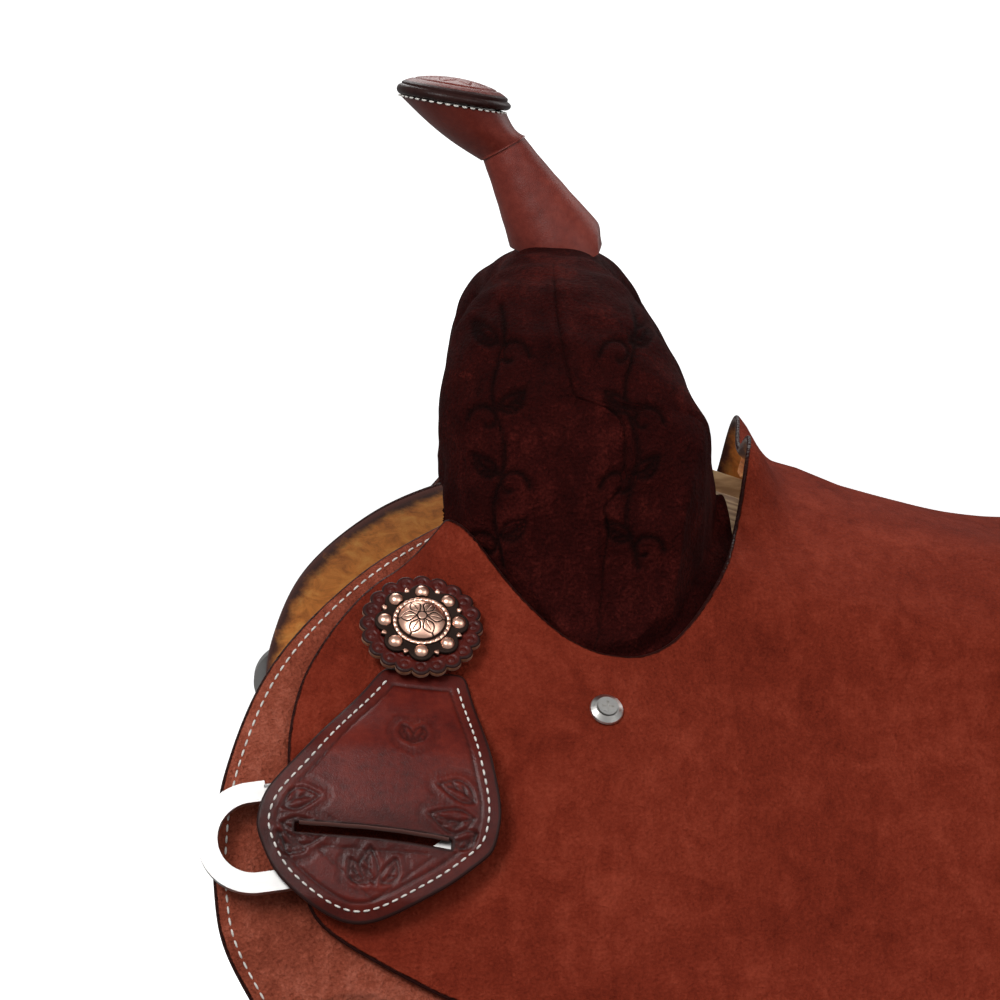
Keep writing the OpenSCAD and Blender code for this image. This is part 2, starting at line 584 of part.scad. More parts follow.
leaf_w = 60;                    // width of the leathers at the stirrup
peg_x = 14;                     // distance of each fastening peg from the middle
peg_z = -386;                   // height of the fastening pegs
module pegs(r, y0, y1) {
    for (x = [-peg_x, peg_x])
        translate([swing_x + x, y1, peg_z]) rotate([90, 0, 0]) cylinder(r = r, h = y1 - y0);
}
module stirrup_leather() {
    color("peru") difference() {
        for (y = [strap_y + gap, strap_y - gap - 3.4])
            translate([swing_x - leaf_w / 2, y, -452]) cube([leaf_w, 3.4, 120]);
        pegs(3.4, strap_y - 10, strap_y + 10);
    }
}
module blevins_plate() {
    color("silver") {
        translate([swing_x - leaf_w / 2, strap_y - 6.6, peg_z - 12]) cube([leaf_w, 2.4, 24]);
        pegs(3, strap_y - 4.4, strap_y + 3.6);
    }
}
module blevins_sleeve() {
    color("silver") translate([swing_x, strap_y - 1.4, peg_z]) difference() {
        cube([leaf_w + 4.6, 14.6, 22], center = true);
        cube([leaf_w + 2, 12, 24], center = true);
    }
}
module on_bolt() { translate([swing_x, strap_y, bolt_z]) children(); }
spacer_r = 9;                   // radius of the roller on the stirrup bolt
module leather_loop() {
    color("peru") on_bolt() rotate([90, 0, 90]) linear_extrude(leaf_w, center = true) difference() {
        union() {
            circle(spacer_r + 3.4);
            polygon([[-12.2, 0], [12.2, 0], [4.2, 52], [-4.2, 52]]);
        }
        circle(spacer_r + 0.05);
    }
}
module hobble_strap() {
    color("sienna") on_bolt() translate([0, 0, 36]) {
        difference() {
            cube([leaf_w + 7, 23, 20], center = true);
            cube([leaf_w + 1, 17, 22], center = true);
        }
    }
}
module hobble_buckle() {
    color("silver") on_bolt() translate([0, 14.4, 36]) rotate([90, 0, 0]) linear_extrude(2.4, center = true)
        difference() {
            square([26, 30], center = true);
            square([18, 22], center = true);
        }
}
arm_out = [[43, 12], [44, -14], [55, -40], [67, -75], [72, -108], [70, -134], [52, -149], [0, -149]];
arm_in = [[33, 12], [33, -14], [43, -40], [56, -72], [stirrup_in_w / 2, -102], [stirrup_in_w / 2 - 2, -124],
          [46, -stirrup_in_h - 17], [0, -stirrup_in_h - 17]];
module stirrup_frame() {
    color("sienna") on_bolt() difference() {
        intersection() {
            rotate([90, 0, 0]) linear_extrude(tread_d, center = true)
                polygon(concat(across(arm_out), turned(across(arm_in))));
            rotate([90, 0, 90]) linear_extrude(160, center = true)
                polygon([[-16, 14], [16, 14], [tread_d / 2, -104], [tread_d / 2, -152],
                    [-tread_d / 2, -152], [-tread_d / 2, -104]]);
        }
        rotate([0, 90, 0]) cylinder(r = 4.1, h = 120, center = true);
    }
}
module stirrup_tread() {
    color("#3a1c14") on_bolt() translate([0, 0, -stirrup_in_h - 14.6]) cube([80, tread_d, 4], center = true);
}
module stirrup_bolt() {
    color("silver") on_bolt() rotate([0, 90, 0]) {
        cylinder(r = 4, h = 98, center = true);
        cylinder(r = spacer_r, h = 64, center = true);
        translate([0, 0, 45]) cylinder(r = 7.5, h = 4);
        translate([0, 0, -49]) cylinder(r = 7.5, h = 4, $fn = 6);
    }
}

tree_bar();  // tree_bar_left
right() tree_bar();  // tree_bar_right
tree_fork();
tree_cantle();
ground_seat();
seat_foam();
horn_core();
horn_neck_cover();
horn_cap_under();
horn_cap_rim();
horn_cap_top();
gullet_liner();
swell_cover();
seat_cover();
cantle_back();
cantle_roll();
skirt();  // skirt_left
right() skirt();  // skirt_right
wool();  // wool_left
right() wool();  // wool_right
skirt_lace();
rear_jockey();  // rear_jockey_left
right() rear_jockey();  // rear_jockey_right
rigging_strap();  // rigging_strap_left
right() rigging_strap();  // rigging_strap_right
rigging_dee();  // rigging_dee_left
right() rigging_dee();  // rigging_dee_right
dee_cover();  // dee_cover_left
right() dee_cover();  // dee_cover_right
front_rosettes();
rear_rosettes();
conchos();
seat_screws();
seat_washers();
flank_strap();  // flank_strap_left
right() flank_strap();  // flank_strap_right
flank_dee();  // flank_dee_left
right() flank_dee();  // flank_dee_right
leather_top();  // leather_top_left
right() leather_top();  // leather_top_right
fender();  // fender_left
right() fender();  // fender_right
stirrup_leather();  // stirrup_leather_left
right() stirrup_leather();  // stirrup_leather_right
blevins_plate();  // blevins_plate_left
right() blevins_plate();  // blevins_plate_right
blevins_sleeve();  // blevins_sleeve_left
right() blevins_sleeve();  // blevins_sleeve_right
leather_loop();  // leather_loop_left
right() leather_loop();  // leather_loop_right
hobble_strap();  // hobble_strap_left
right() hobble_strap();  // hobble_strap_right
hobble_buckle();  // hobble_buckle_left
right() hobble_buckle();  // hobble_buckle_right
stirrup_bolt();  // stirrup_bolt_left
right() stirrup_bolt();  // stirrup_bolt_right
stirrup_frame();  // stirrup_frame_left
right() stirrup_frame();  // stirrup_frame_right
stirrup_tread();  // stirrup_tread_left
right() stirrup_tread();  // stirrup_tread_right
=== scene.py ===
import json
import math
import bpy
import numpy as np
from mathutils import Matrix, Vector, kdtree
from mathutils.geometry import delaunay_2d_cdt

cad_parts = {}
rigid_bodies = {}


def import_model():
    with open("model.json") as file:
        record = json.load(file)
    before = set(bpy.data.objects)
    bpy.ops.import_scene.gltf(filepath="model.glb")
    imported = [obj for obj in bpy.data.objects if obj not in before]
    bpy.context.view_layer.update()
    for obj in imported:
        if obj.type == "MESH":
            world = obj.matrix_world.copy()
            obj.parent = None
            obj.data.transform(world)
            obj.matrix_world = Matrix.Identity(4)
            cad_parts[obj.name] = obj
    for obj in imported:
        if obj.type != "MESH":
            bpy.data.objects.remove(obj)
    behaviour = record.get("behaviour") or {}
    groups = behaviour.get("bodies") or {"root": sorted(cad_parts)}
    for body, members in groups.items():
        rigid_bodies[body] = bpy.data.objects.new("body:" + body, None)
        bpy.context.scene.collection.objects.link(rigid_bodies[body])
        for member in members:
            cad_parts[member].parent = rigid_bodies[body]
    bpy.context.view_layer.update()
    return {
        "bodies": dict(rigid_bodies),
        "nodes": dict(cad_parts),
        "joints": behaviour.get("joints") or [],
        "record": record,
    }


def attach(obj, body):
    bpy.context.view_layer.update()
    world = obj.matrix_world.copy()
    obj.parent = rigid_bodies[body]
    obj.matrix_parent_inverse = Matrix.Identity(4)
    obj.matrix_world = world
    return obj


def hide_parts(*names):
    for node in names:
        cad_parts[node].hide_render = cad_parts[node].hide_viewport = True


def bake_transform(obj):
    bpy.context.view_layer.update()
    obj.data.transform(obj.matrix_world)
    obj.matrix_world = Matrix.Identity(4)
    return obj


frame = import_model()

MM = 0.001

# ---------------------------------------------------------------- the saddle's surface, in mm
FRONT_R, REAR_R, LOW_X, LOW_Z, WITHERS, CROUP = 305, 340, -60, 28, 70, 17
SEAT_T, FORK_TOP, RIM_X, RIM_S, BAR_T = 4, 186, -222, 150, 24
SWING_X, STRAP_Y, FENDER_Y, BOLT_Z = 45, 283, 290, -508


def ease(t):
    return (1 - np.cos(np.pi * np.clip(t, 0, 1))) / 2


def mix(a, b, t):
    return a + (b - a) * t


def unit(v):
    return v / np.maximum(np.linalg.norm(v, axis=-1, keepdims=True), 1e-9)


def vec(x, y, z):
    return np.stack(np.broadcast_arrays(x, y, z), -1).astype(float)


def spine_z(x):
    return np.where(x > LOW_X, LOW_Z + WITHERS * ease((x - LOW_X) / 330),
                    LOW_Z + CROUP * ease((LOW_X - x) / 290))


def radius_at(x):
    return mix(FRONT_R, REAR_R, ease((200 - x) / 200))


def peak_at(x):
    return mix(10, 12, ease((200 - x) / 200))


def straight_from(x):
    return mix(320, 262, ease((200 - x) / 150))


def slope_at(x, s):
    return peak_at(x) + np.minimum(s, straight_from(x)) * 180 / (math.pi * radius_at(x))


def side(x, s):
    r, t0, t = radius_at(x), np.radians(peak_at(x)), np.radians(slope_at(x, s))
    e = np.maximum(0, s - straight_from(x))
    return vec(x, r * (np.sin(t) - np.sin(t0)) + e * np.cos(t),
               spine_z(x) - r * (np.cos(t0) - np.cos(t)) - e * np.sin(t))


def normal(x, s):
    a = np.radians(slope_at(x, s)) * ease(s / 60)
    dz = (spine_z(x + 1) - spine_z(x - 1)) / 2
    return unit(vec(-dz * np.cos(a), np.sin(a), np.cos(a)))


def flip(p, s):
    p = p.copy()
    p[..., 1] *= np.where(np.asarray(s) < 0, -1, 1)
    return p


def skin(x, s, h):
    """A point h above the skirt's surface; s below 0 is on the right side."""
    x, s, h = np.broadcast_arrays(np.asarray(x, float), np.asarray(s, float), np.asarray(h, float))
    a = np.abs(s)
    return flip(side(x, a) + h[..., None] * normal(x, a), s)


def along(points, t):
    """Catmull-Rom curve through points, t from 0 to 1."""
    p = np.asarray(points, float)
    n = len(p) - 1
    t = np.asarray(t, float)
    i = np.minimum(n - 1, np.floor(t * n)).astype(int)
    f = (t * n - i)[..., None]
    a, b, c, d = p[np.maximum(0, i - 1)], p[i], p[i + 1], p[np.minimum(n, i + 2)]
    return 0.5 * (2 * b + (c - a) * f + (2 * a - 5 * b + 4 * c - d) * f * f + (3 * b - a - 3 * c + d)
                  * f ** 3)


def bar_h(x, s):
    return np.maximum(3, BAR_T - 19 * ease((s - 118) / 54) - 9 * ease((x - 190) / 46) - 10
                      * ease((-210 - x) / 56))


FORK_PATH = [[0, FORK_TOP, 197, 153, 40], [42, FORK_TOP - 2, 205, 146, 40], [84, FORK_TOP - 12, 219, 132, 42],
             [120, 152, 227, 119, 48], [145, 122, 229, 103, 58], [155, 94, 227, 95, 66],
             [157, 68, 225, 93, 40], [156, 44, 217, 98, 30], [160, 20, 206, 110, 18], [170, 2, 192, 126, 8],
             [178, -12, 178, 146, 6]]
GULLET = [[0, 143], [24, 140], [42, 129], [53, 110], [60, 95]]


def lift(p, clear, grow):
    """Keeps a point of the fork under the seat leather, where that covers it, and above the bars."""
    x, y, z = p[..., 0], p[..., 1], p[..., 2]
    r, t0 = radius_at(x), np.radians(peak_at(x))
    yc, zc = -r * np.sin(t0), spine_z(x) - r * np.cos(t0)
    t = np.arctan2(y - yc, z - zc)
    s = (t - t0) * r
    edge = np.interp(x, *np.array(SEAT_U[::-1], float).T)
    most = seat_h(x, s) + grow - 6.2 + 3 * np.maximum(0, edge - s - 3.5)
    h = np.maximum(np.minimum(np.hypot(y - yc, z - zc) - r, most), bar_h(x, s) + clear)
    q = vec(x, yc + (r + h) * np.sin(t), zc + (r + h) * np.cos(t))
    return np.where((y < 58)[..., None], p, q)


def fork_point(t, w, grow, clear=4.0):
    t, w, grow = np.broadcast_arrays(np.asarray(t, float), np.asarray(w, float), np.asarray(grow, float))
    p = along(FORK_PATH, t)
    a, b = along(FORK_PATH, np.maximum(0, t - 0.02)), along(FORK_PATH, np.minimum(1, t + 0.02))
    d = unit((b - a)[..., :2])
    ny, nz = np.where(t < 0.01, 0, -d[..., 1]), np.where(t < 0.01, 1, d[..., 0])
    half = (p[..., 2] - p[..., 3]) / 2 + grow
    out = grow + p[..., 4] * (np.maximum(np.cos(np.radians(90 * w)), 0) ** 0.55 - 1)
    x = (p[..., 2] + p[..., 3]) / 2 + half * np.sign(w) * np.abs(np.sin(np.radians(90 * w))) ** 0.75
    return lift(vec(x, p[..., 0] + ny * out, p[..., 1] + nz * out), clear, grow)


SEAT_LINE = [[-222, 46], [-130, 45], [-90, 43], [-48, 46], [-23, 52], [2, 60], [37, 70], [62, 80], [84, 86],
             [102, 99]]


def seat_h(x, s):
    line = np.asarray(SEAT_LINE, float)
    middle = np.interp(x, line[:, 0], line[:, 1]) - spine_z(x) - SEAT_T
    bars = (BAR_T + 5.6 + 4 * ease((90 - x) / 60)) * (1 - ease((x - 215) / 40))
    jockey = np.where(x > 45, mix(12, 1.4, ease((x - 150) / 70)), mix(12, 6.5, ease((-60 - x) / 90)))
    lip = 22 * ease((x - 66) / 34) * ease(1 - np.abs(s - 52) / 50)
    swell = ease((x - 120) / 30) * ease((238 - x) / 30) * ease((s - 110) / 24) * ease((206 - s) / 26)
    return mix(mix(middle, bars, ease(s / 75)), jockey, ease((s - 118) / 70)) + lip + 1.5 * swell


def seat_point(w, s, h):
    w, s, h = np.broadcast_arrays(np.asarray(w, float), np.asarray(s, float), np.asarray(h, float))
    a = np.abs(s)
    k = np.clip(a / RIM_S, 0, 1) ** 2
    x = w + 52 * k * ease((LOW_X - w) / 150)
    rise = (118 - 62 * k) * (1 - np.clip((w - RIM_X) / 108, 0, 1)) ** 2.1
    p = side(x, a) + (seat_h(x, a) + h)[..., None] * normal(x, a)
    p[..., 2] += rise + (a - np.hypot(a, 12)) * np.sin(np.radians(peak_at(x)))
    return flip(p, s)


# ---------------------------------------------------------------- outlines on the flat, [x, s] in mm
SKIRT_TOP = [[333, 296], [329, 258], [310, 203], [274, 151], [226, 100], [190, 56], [120, 44],
             [0, 42], [-120, 42], [-215, 36], [-285, 14], [-346, 14]]
SKIRT_BOTTOM = [[333, 306], [329, 335], [316, 362], [296, 392], [265, 418], [225, 430], [130, 408],
                [0, 376], [-110, 366], [-215, 378], [-305, 362], [-350, 290]]
WOOL_TOP = [[318, 300], [312, 262], [290, 222], [250, 176], [208, 130], [170, 80], [110, 52],
            [0, 48], [-120, 48], [-215, 42], [-285, 22], [-338, 22]]
WOOL_BOTTOM = [[318, 312], [316, 336], [303, 360], [284, 386], [256, 408], [220, 420], [130, 399],
               [0, 368], [-110, 358], [-215, 369], [-300, 353], [-342, 286]]
SEAT_U = [[230, 128], [212, 147], [192, 165], [172, 180], [156, 184], [138, 178], [121, 160], [106, 128],
          [99, 92], [98, 55], [92, 0]]
SEAT_BOTTOM = [[233, 131], [263, 158], [288, 198], [298, 230], [299, 264], [292, 310], [280, 333], [236, 357],
               [192, 368], [150, 373], [100, 366], [50, 351], [10, 340], [-30, 328], [-70, 314],
               [-108, 292], [-145, 256], [-180, 206], [-205, 172], [-222, 150]]
JOCKEY_FRONT = [[-112, 226], [-124, 190], [-148, 166], [-201, 150], [-216, 135], [-238, 95], [-251, 50],
                [-256, 3]]
JOCKEY_REAR = [[-212, 260], [-262, 254], [-300, 222], [-322, 170], [-332, 120], [-334, 80], [-334, 40],
               [-332, 3]]
COVER_NECK = [[256, 207], [247, 208], [238, 208.5], [228, 208], [219, 207]]
COVER_TIP = [[313, 288], [300, 312], [267, 331], [231, 315], [206, 294]]
COVER_FRONT = [[256, 207], [271, 228], [290, 252], [308, 272], [313, 288]]
COVER_BACK = [[219, 207], [213, 230], [207, 254], [203, 276], [206, 294]]


def cover_h(x, s):
    return mix(5.8, 17.8, ease((s - 216) / 40)) - 2 * ease((s - 276) / 24) - 3.6 * ease((s - 318) / 14)


def rear_jockey_h(x, s):
    return 1.4 + 24 * ease((x + 300) / 40) * ease((190 - s) / 34) + 2 * ease((60 - s) / 30)


T = np.linspace(0, 1, 121)


def closed(*curves):
    """One outline from curves walked in turn; each is (points, backwards)."""
    return np.concatenate([along(c, T[::-1] if back else T) for c, back in curves])


def resample(loop, step):
    p = np.vstack([loop, loop[:1]])
    keep = np.r_[True, np.linalg.norm(np.diff(p, axis=0), axis=1) > 1e-6]
    p = p[keep]
    d = np.r_[0, np.cumsum(np.linalg.norm(np.diff(p, axis=0), axis=1))]
    n = max(8, int(round(d[-1] / step)))
    t = np.linspace(0, d[-1], n, endpoint=False)
    return np.stack([np.interp(t, d, p[:, k]) for k in (0, 1)], 1)


def soften(loop, times):
    for _ in range(times):
        loop = (np.roll(loop, 1, 0) + 2 * loop + np.roll(loop, -1, 0)) / 4
    return loop


def area(loop):
    x, y = loop[:, 0], loop[:, 1]
    return 0.5 * np.sum(x * np.roll(y, -1) - np.roll(x, -1) * y)


def ccw(loop):
    return loop if area(loop) > 0 else loop[::-1]


def inset(loop, d):
    """A counter-clockwise loop moved inwards by d."""
    t = unit(np.roll(loop, -1, 0) - np.roll(loop, 1, 0))
    return loop + d * np.stack([-t[:, 1], t[:, 0]], 1)


def inside(points, loop):
    x, y = points[:, 0][:, None], points[:, 1][:, None]
    x0, y0 = loop[:, 0][None], loop[:, 1][None]
    x1, y1 = np.roll(x0, -1, 1), np.roll(y0, -1, 1)
    cross = ((y0 > y) != (y1 > y)) & (x < (x1 - x0) * (y - y0) / np.where(y1 == y0, 1e-9, y1 - y0) + x0)
    return cross.sum(1) % 2 == 1


def distance(points, loop):
    out = np.full(len(points), 1e9)
    for i in range(0, len(points), 4000):
        d = points[i:i + 4000, None] - loop[None]
        out[i:i + 4000] = np.sqrt((d ** 2).sum(2).min(1))
    return out


# ---------------------------------------------------------------- meshes
def put(name, verts, faces, mats, index=None, attrs=None, body=None, replaces=(), slot=None, sharp=False):
    verts, faces = np.asarray(verts, float), [tuple(int(i) for i in f) for f in faces]
    corners = np.array([(f[0], f[k], f[k + 1]) for f in faces for k in range(1, len(f) - 1)])
    a, b, c = (verts[corners[:, k]] - verts.mean(0) for k in range(3))
    if np.einsum("ij,ij->i", a, np.cross(b, c)).sum() < 0:      # inside out
        faces = [f[::-1] for f in faces]
    me = bpy.data.meshes.new(name)
    me.from_pydata((verts * MM).tolist(), [], faces)
    for m in mats if isinstance(mats, (list, tuple)) else [mats]:
        me.materials.append(m)
    if index is not None:
        me.polygons.foreach_set("material_index", np.asarray(index, np.int32))
    for key, values in (attrs or {}).items():
        a = me.attributes.new(key, "FLOAT", "POINT")
        a.data.foreach_set("value", np.asarray(values, np.float32))
    me.polygons.foreach_set("use_smooth", np.full(len(me.polygons), not sharp))
    me.update()
    obj = bpy.data.objects.new(name, me)
    bpy.context.scene.collection.objects.link(obj)
    if body:
        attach(obj, body)
    if replaces:
        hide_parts(*replaces)
    return obj


def grid_faces(nu, nv, around=False):
    """Quads of a grid of nu by nv points; around closes it along v."""
    i, j = np.meshgrid(np.arange(nu - 1), np.arange(nv if around else nv - 1), indexing="ij")
    a, b = i * nv + j, i * nv + (j + 1) % nv
    return np.stack([a, b, b + nv, a + nv], -1).reshape(-1, 4)


class Piece:
    """Vertices, faces, material indices and attributes that are joined into one mesh."""

    def __init__(self):
        self.v, self.f, self.m, self.a, self.n = [], [], [], {}, 0

    def add(self, verts, faces, mat=0, **attrs):
        verts = np.asarray(verts, float).reshape(-1, 3)
        for key in set(self.a) | set(attrs):
            old = self.a.setdefault(key, [np.zeros(self.n)] if self.n else [])
            value = attrs.get(key, 0)
            old.append(np.broadcast_to(value,
                                       (len(verts),)) if np.ndim(value) == 0 else np.asarray(value).ravel())
        self.v.append(verts)
        self.f += [[int(i) + self.n for i in f] for f in faces]
        self.m += [mat] * len(faces) if np.ndim(mat) == 0 else list(mat)
        self.n += len(verts)
        return self

    def make(self, name, mats, mirror=False, **kw):
        v, f = np.concatenate(self.v), self.f
        if mirror:
            v = v * [1, -1, 1]
            f = [face[::-1] for face in f]
        return put(name, v, f, mats, self.m, {k: np.concatenate(x) for k, x in self.a.items()}, **kw)


def flat_mesh(loop, holes, spacing):
    """Triangles that fill a counter-clockwise loop, less its holes. The loops' points come first."""
    loops = [loop] + list(holes)
    low, high = loop.min(0), loop.max(0)
    rows = np.arange(low[1], high[1], spacing * 0.866)
    cols = np.arange(low[0], high[0], spacing)
    gx, gy = np.meshgrid(cols, rows)
    gx[1::2] += spacing / 2
    grid = np.stack([gx.ravel(), gy.ravel()], 1)
    ok = inside(grid, loop)
    for hole in holes:
        ok &= ~inside(grid, hole)
    grid = grid[ok]
    ok = np.ones(len(grid), bool)
    for q in loops:
        ok &= distance(grid, q) > spacing * 0.55
    points = np.concatenate(loops + [grid[ok]])
    edges, start = [], 0
    for q in loops:
        n = len(q)
        edges += [(start + i, start + (i + 1) % n) for i in range(n)]
        start += n
    out = delaunay_2d_cdt([Vector(p) for p in points.tolist()], edges, [], 0, 1e-6)
    flat = np.array([tuple(v) for v in out[0]])
    tris = np.array([t for t in out[2] if len(t) == 3])
    mid = flat[tris].mean(1)
    ok = inside(mid, loop)
    for hole in holes:
        ok &= ~inside(mid, hole)
    tris = tris[ok]
    a, b, c = flat[tris[:, 0]], flat[tris[:, 1]], flat[tris[:, 2]]
    turn = (b[:, 0] - a[:, 0]) * (c[:, 1] - a[:, 1]) - (b[:, 1] - a[:, 1]) * (c[:, 0] - a[:, 0])
    tris[turn < 0] = tris[turn < 0][:, ::-1]
    where = {}
    for new, olds in enumerate(out[3]):
        for old in olds:
            where[old] = new
    rings, start = [], 0
    for q in loops:
        rings.append(np.array([where[start + i] for i in range(len(q))]))
        start += len(q)
    return flat, tris, rings


def leather_piece(outline, surf, t, spacing=4.0, step=2.2, r=None, holes=(), smooth=4, under=True,
                  under_mat=1,
                  carve=None):
    """A thick sheet with a rounded edge. surf(x, s, h) places it and carve(points, rim) cuts into its top,
    in mm. Attribute rim is the distance from its edge."""
    r = r or t * 0.45
    loop = ccw(soften(resample(outline, step), smooth))
    loops = [loop] + [ccw(resample(h, step * 0.6))[::-1] for h in holes]
    edges = [inset(q, r) for q in loops]
    flat, tris, rings = flat_mesh(edges[0], edges[1:], spacing)
    p = Piece()
    rim = np.minimum.reduce([distance(flat, q) for q in loops])
    dent = carve(flat, rim) if carve else np.zeros(len(flat))
    # attribute carve marks the cut lines, which the materials darken as painted shade
    p.add(surf(flat[:, 0], flat[:, 1], t - dent), tris, 0, rim=rim, carve=np.clip(dent * 0.9, 0, 1))
    if under:
        p.add(surf(flat[:, 0], flat[:, 1], 0), tris[:, ::-1], under_mat, rim=rim)
    n = len(flat)
    for q, ring in zip(loops, rings):
        m = len(q)
        strips, depths = [], []
        for a in np.radians([20, 45, 70, 90, 90, 110, 135, 160] if under else [20, 45, 70, 90, 90]):
            at = inset(q, r * (1 - math.sin(a)))
            lift_h = t - r * (1 - math.cos(a)) if len(strips) < 4 else r * (1 + math.cos(a))
            strips.append(surf(at[:, 0], at[:, 1], lift_h))
            depths.append(np.full(m, r * (1 - math.sin(a))))
        start = p.n
        p.add(np.concatenate(strips), [], 0, rim=np.concatenate(depths))
        idx = [ring] + [start + k * m + np.arange(m) for k in range(len(strips))] + ([ring
                + n] if under else [])
        for k in range(len(idx) - 1):
            a, b = idx[k], idx[k + 1]
            p.f += [[int(b[i]), int(b[(i + 1) % m]), int(a[(i + 1) % m]), int(a[i])] for i in range(m)]
            p.m += [0 if k < 5 else under_mat] * m
    return p, loop


def stitch_line(points, normals, pitch=4.8, length=3.4, r=0.42, rise=0.1):
    """Short rounded stitches end to end along a line of points."""
    d = np.r_[0, np.cumsum(np.linalg.norm(np.diff(points, axis=0), axis=1))]
    n = max(1, int(d[-1] / pitch))
    p = Piece()
    lengthwise = np.linspace(-1, 1, 7)
    for i in range(n):
        at = (i + 0.5) * d[-1] / n
        a, b = [np.array([np.interp(at + q, d, points[:, k]) for k in range(3)]) for q in (-length / 2,
                length / 2)]
        up = unit(np.array([np.interp(at, d, normals[:, k]) for k in range(3)]))
        mid, go = (a + b) / 2, unit(b - a)
        across = np.cross(up, go)
        rings = []
        for u in lengthwise:
            w = r * math.sqrt(max(0.02, 1 - abs(u) ** 3))
            centre = mid + go * u * length / 2 + up * (rise + 0.55 * r - 0.9 * r * u ** 4)
            ring = [centre + w * (across * math.cos(q) + up * math.sin(q)) for q in np.arange(6)
                    * math.pi / 3]
            rings.append(ring)
        faces = grid_faces(len(lengthwise), 6, True)[:, ::-1].tolist() + [[5, 4, 3, 2, 1, 0][::-1],
                [36 + k for k in (5, 4, 3, 2, 1, 0)]]
        p.add(np.array(rings).reshape(-1, 3), faces)
    return p


def normals_of(points_fn, flat):
    """Normals of a surface function at flat [x, s] points."""
    e = 0.5
    a = points_fn(flat[:, 0] + e, flat[:, 1]) - points_fn(flat[:, 0] - e, flat[:, 1])
    b = points_fn(flat[:, 0], flat[:, 1] + e) - points_fn(flat[:, 0], flat[:, 1] - e)
    return unit(np.cross(a, b))


def stitched(loop, d, surf, h, keep=None, **kw):
    """A stitch line inside a loop at distance d, on surf at height h."""
    line = inset(loop, d)
    line = soften(resample(line, 1.0), 6)
    if keep is not None:
        ok = keep(line[:, 0], line[:, 1])
        first = int(np.argmax(~ok)) if (~ok).any() else 0
        line, ok = np.roll(line, -first, 0), np.roll(ok, -first)
        line = line[ok]
    fn = lambda x, s: surf(x, s, h)
    return stitch_line(fn(line[:, 0], line[:, 1]), normals_of(fn, line), **kw)


# ---------------------------------------------------------------- materials
class Mat:
    """A material's node tree, with short ways to add nodes."""

    def __init__(self, name):
        self.mat = bpy.data.materials.new(name)
        self.mat.use_nodes = True
        self.tree = self.mat.node_tree
        self.out = self.tree.nodes["Principled BSDF"]
        self.coords = self.tree.nodes.new("ShaderNodeTexCoord").outputs["Object"]

    def node(self, kind, inputs=None, **props):
        n = self.tree.nodes.new("ShaderNode" + kind)
        for key, value in props.items():
            setattr(n, key, value)
        for key, value in (inputs or {}).items():
            self.set(n.inputs[key], value)
        return n

    def set(self, socket, value):
        if isinstance(value, bpy.types.NodeSocket):
            self.tree.links.new(value, socket)
        elif socket.type == "RGBA" and len(value) == 3:
            socket.default_value = (*value, 1)
        else:
            socket.default_value = value

    def noise(self, scale, detail=4, rough=0.55, distort=0.0, at=None):
        return self.node("TexNoise", {"Vector": at or self.coords, "Scale": scale, "Detail": detail,
                                      "Roughness": rough, "Distortion": distort}).outputs["Fac"]

    def stretch(self, x, y, z):
        return self.node("Mapping", {"Vector": self.coords, "Scale": (x, y, z)}).outputs["Vector"]

    def cells(self, scale, feature="F1", at=None):
        return self.node("TexVoronoi", {"Vector": at or self.coords, "Scale": scale},
                         feature=feature).outputs["Distance"]

    def attr(self, name):
        return self.node("Attribute", attribute_name=name).outputs["Fac"]

    def calc(self, op, a, b=0.0):
        return self.node("Math", {0: a, 1: b}, operation=op).outputs[0]

    def span(self, value, low, high, a=0.0, b=1.0):
        return self.node("MapRange", {"Value": value, "From Min": low, "From Max": high, "To Min": a,
                                      "To Max": b},
                         interpolation_type="SMOOTHSTEP").outputs["Result"]

    def ramp(self, value, *stops):
        n = self.node("ValToRGB", {"Fac": value})
        e = n.color_ramp.elements
        while len(e) < len(stops):
            e.new(0.5)
        for k, (at, colour) in enumerate(stops):
            e[k].position, e[k].color = at, (*colour, 1)
        return n.outputs["Color"]

    def blend(self, fac, a, b, kind="MIX"):
        n = self.node("Mix", data_type="RGBA", blend_type=kind)
        self.set(n.inputs[0], fac)
        self.set(n.inputs[6], a)
        self.set(n.inputs[7], b)
        return n.outputs[2]

    def bump(self, *layers):
        """Each layer is (height, distance in mm)."""
        last = None
        for height, distance_mm in layers:
            n = self.node("Bump", {"Height": height, "Distance": distance_mm * MM, "Strength": 1.0})
            if last:
                self.set(n.inputs["Normal"], last)
            last = n.outputs["Normal"]
        self.set(self.out.inputs["Normal"], last)

    def done(self, colour, rough, **uniform):
        self.set(self.out.inputs["Base Color"], colour)
        self.set(self.out.inputs["Roughness"], rough)
        for key, value in uniform.items():
            self.set(self.out.inputs[key.replace("_", " ").title().replace("Ior", "IOR")], value)
        return self.mat


EDGE = (0.022, 0.006, 0.005)
# near-black colour of the painted shade in carved grooves
CARVE_SHADE = (0.004, 0.0012, 0.001)


def painted_edge(m, colour, rough, paint=1.5, width=0.8, colour_e=EDGE):
    """Mixes in the painted edge where attribute rim is small, and paints shade, near black, into the carved
    lines that attribute carve marks.
    """
    wobble = m.calc("MULTIPLY", m.noise(160, 3), 0.9)
    rim = m.calc("ADD", m.attr("rim"), wobble)
    mask = m.span(rim, paint, paint + width, 1.0, 0.0)
    carve = m.attr("carve")
    # painted shade: the carved grooves darken towards near black
    colour = m.blend(m.calc("MULTIPLY", carve, 0.85), colour, CARVE_SHADE)
    return m.blend(mask, colour, colour_e), m.calc("ADD", m.calc("MULTIPLY", mask, 0.38 - rough), rough), mask


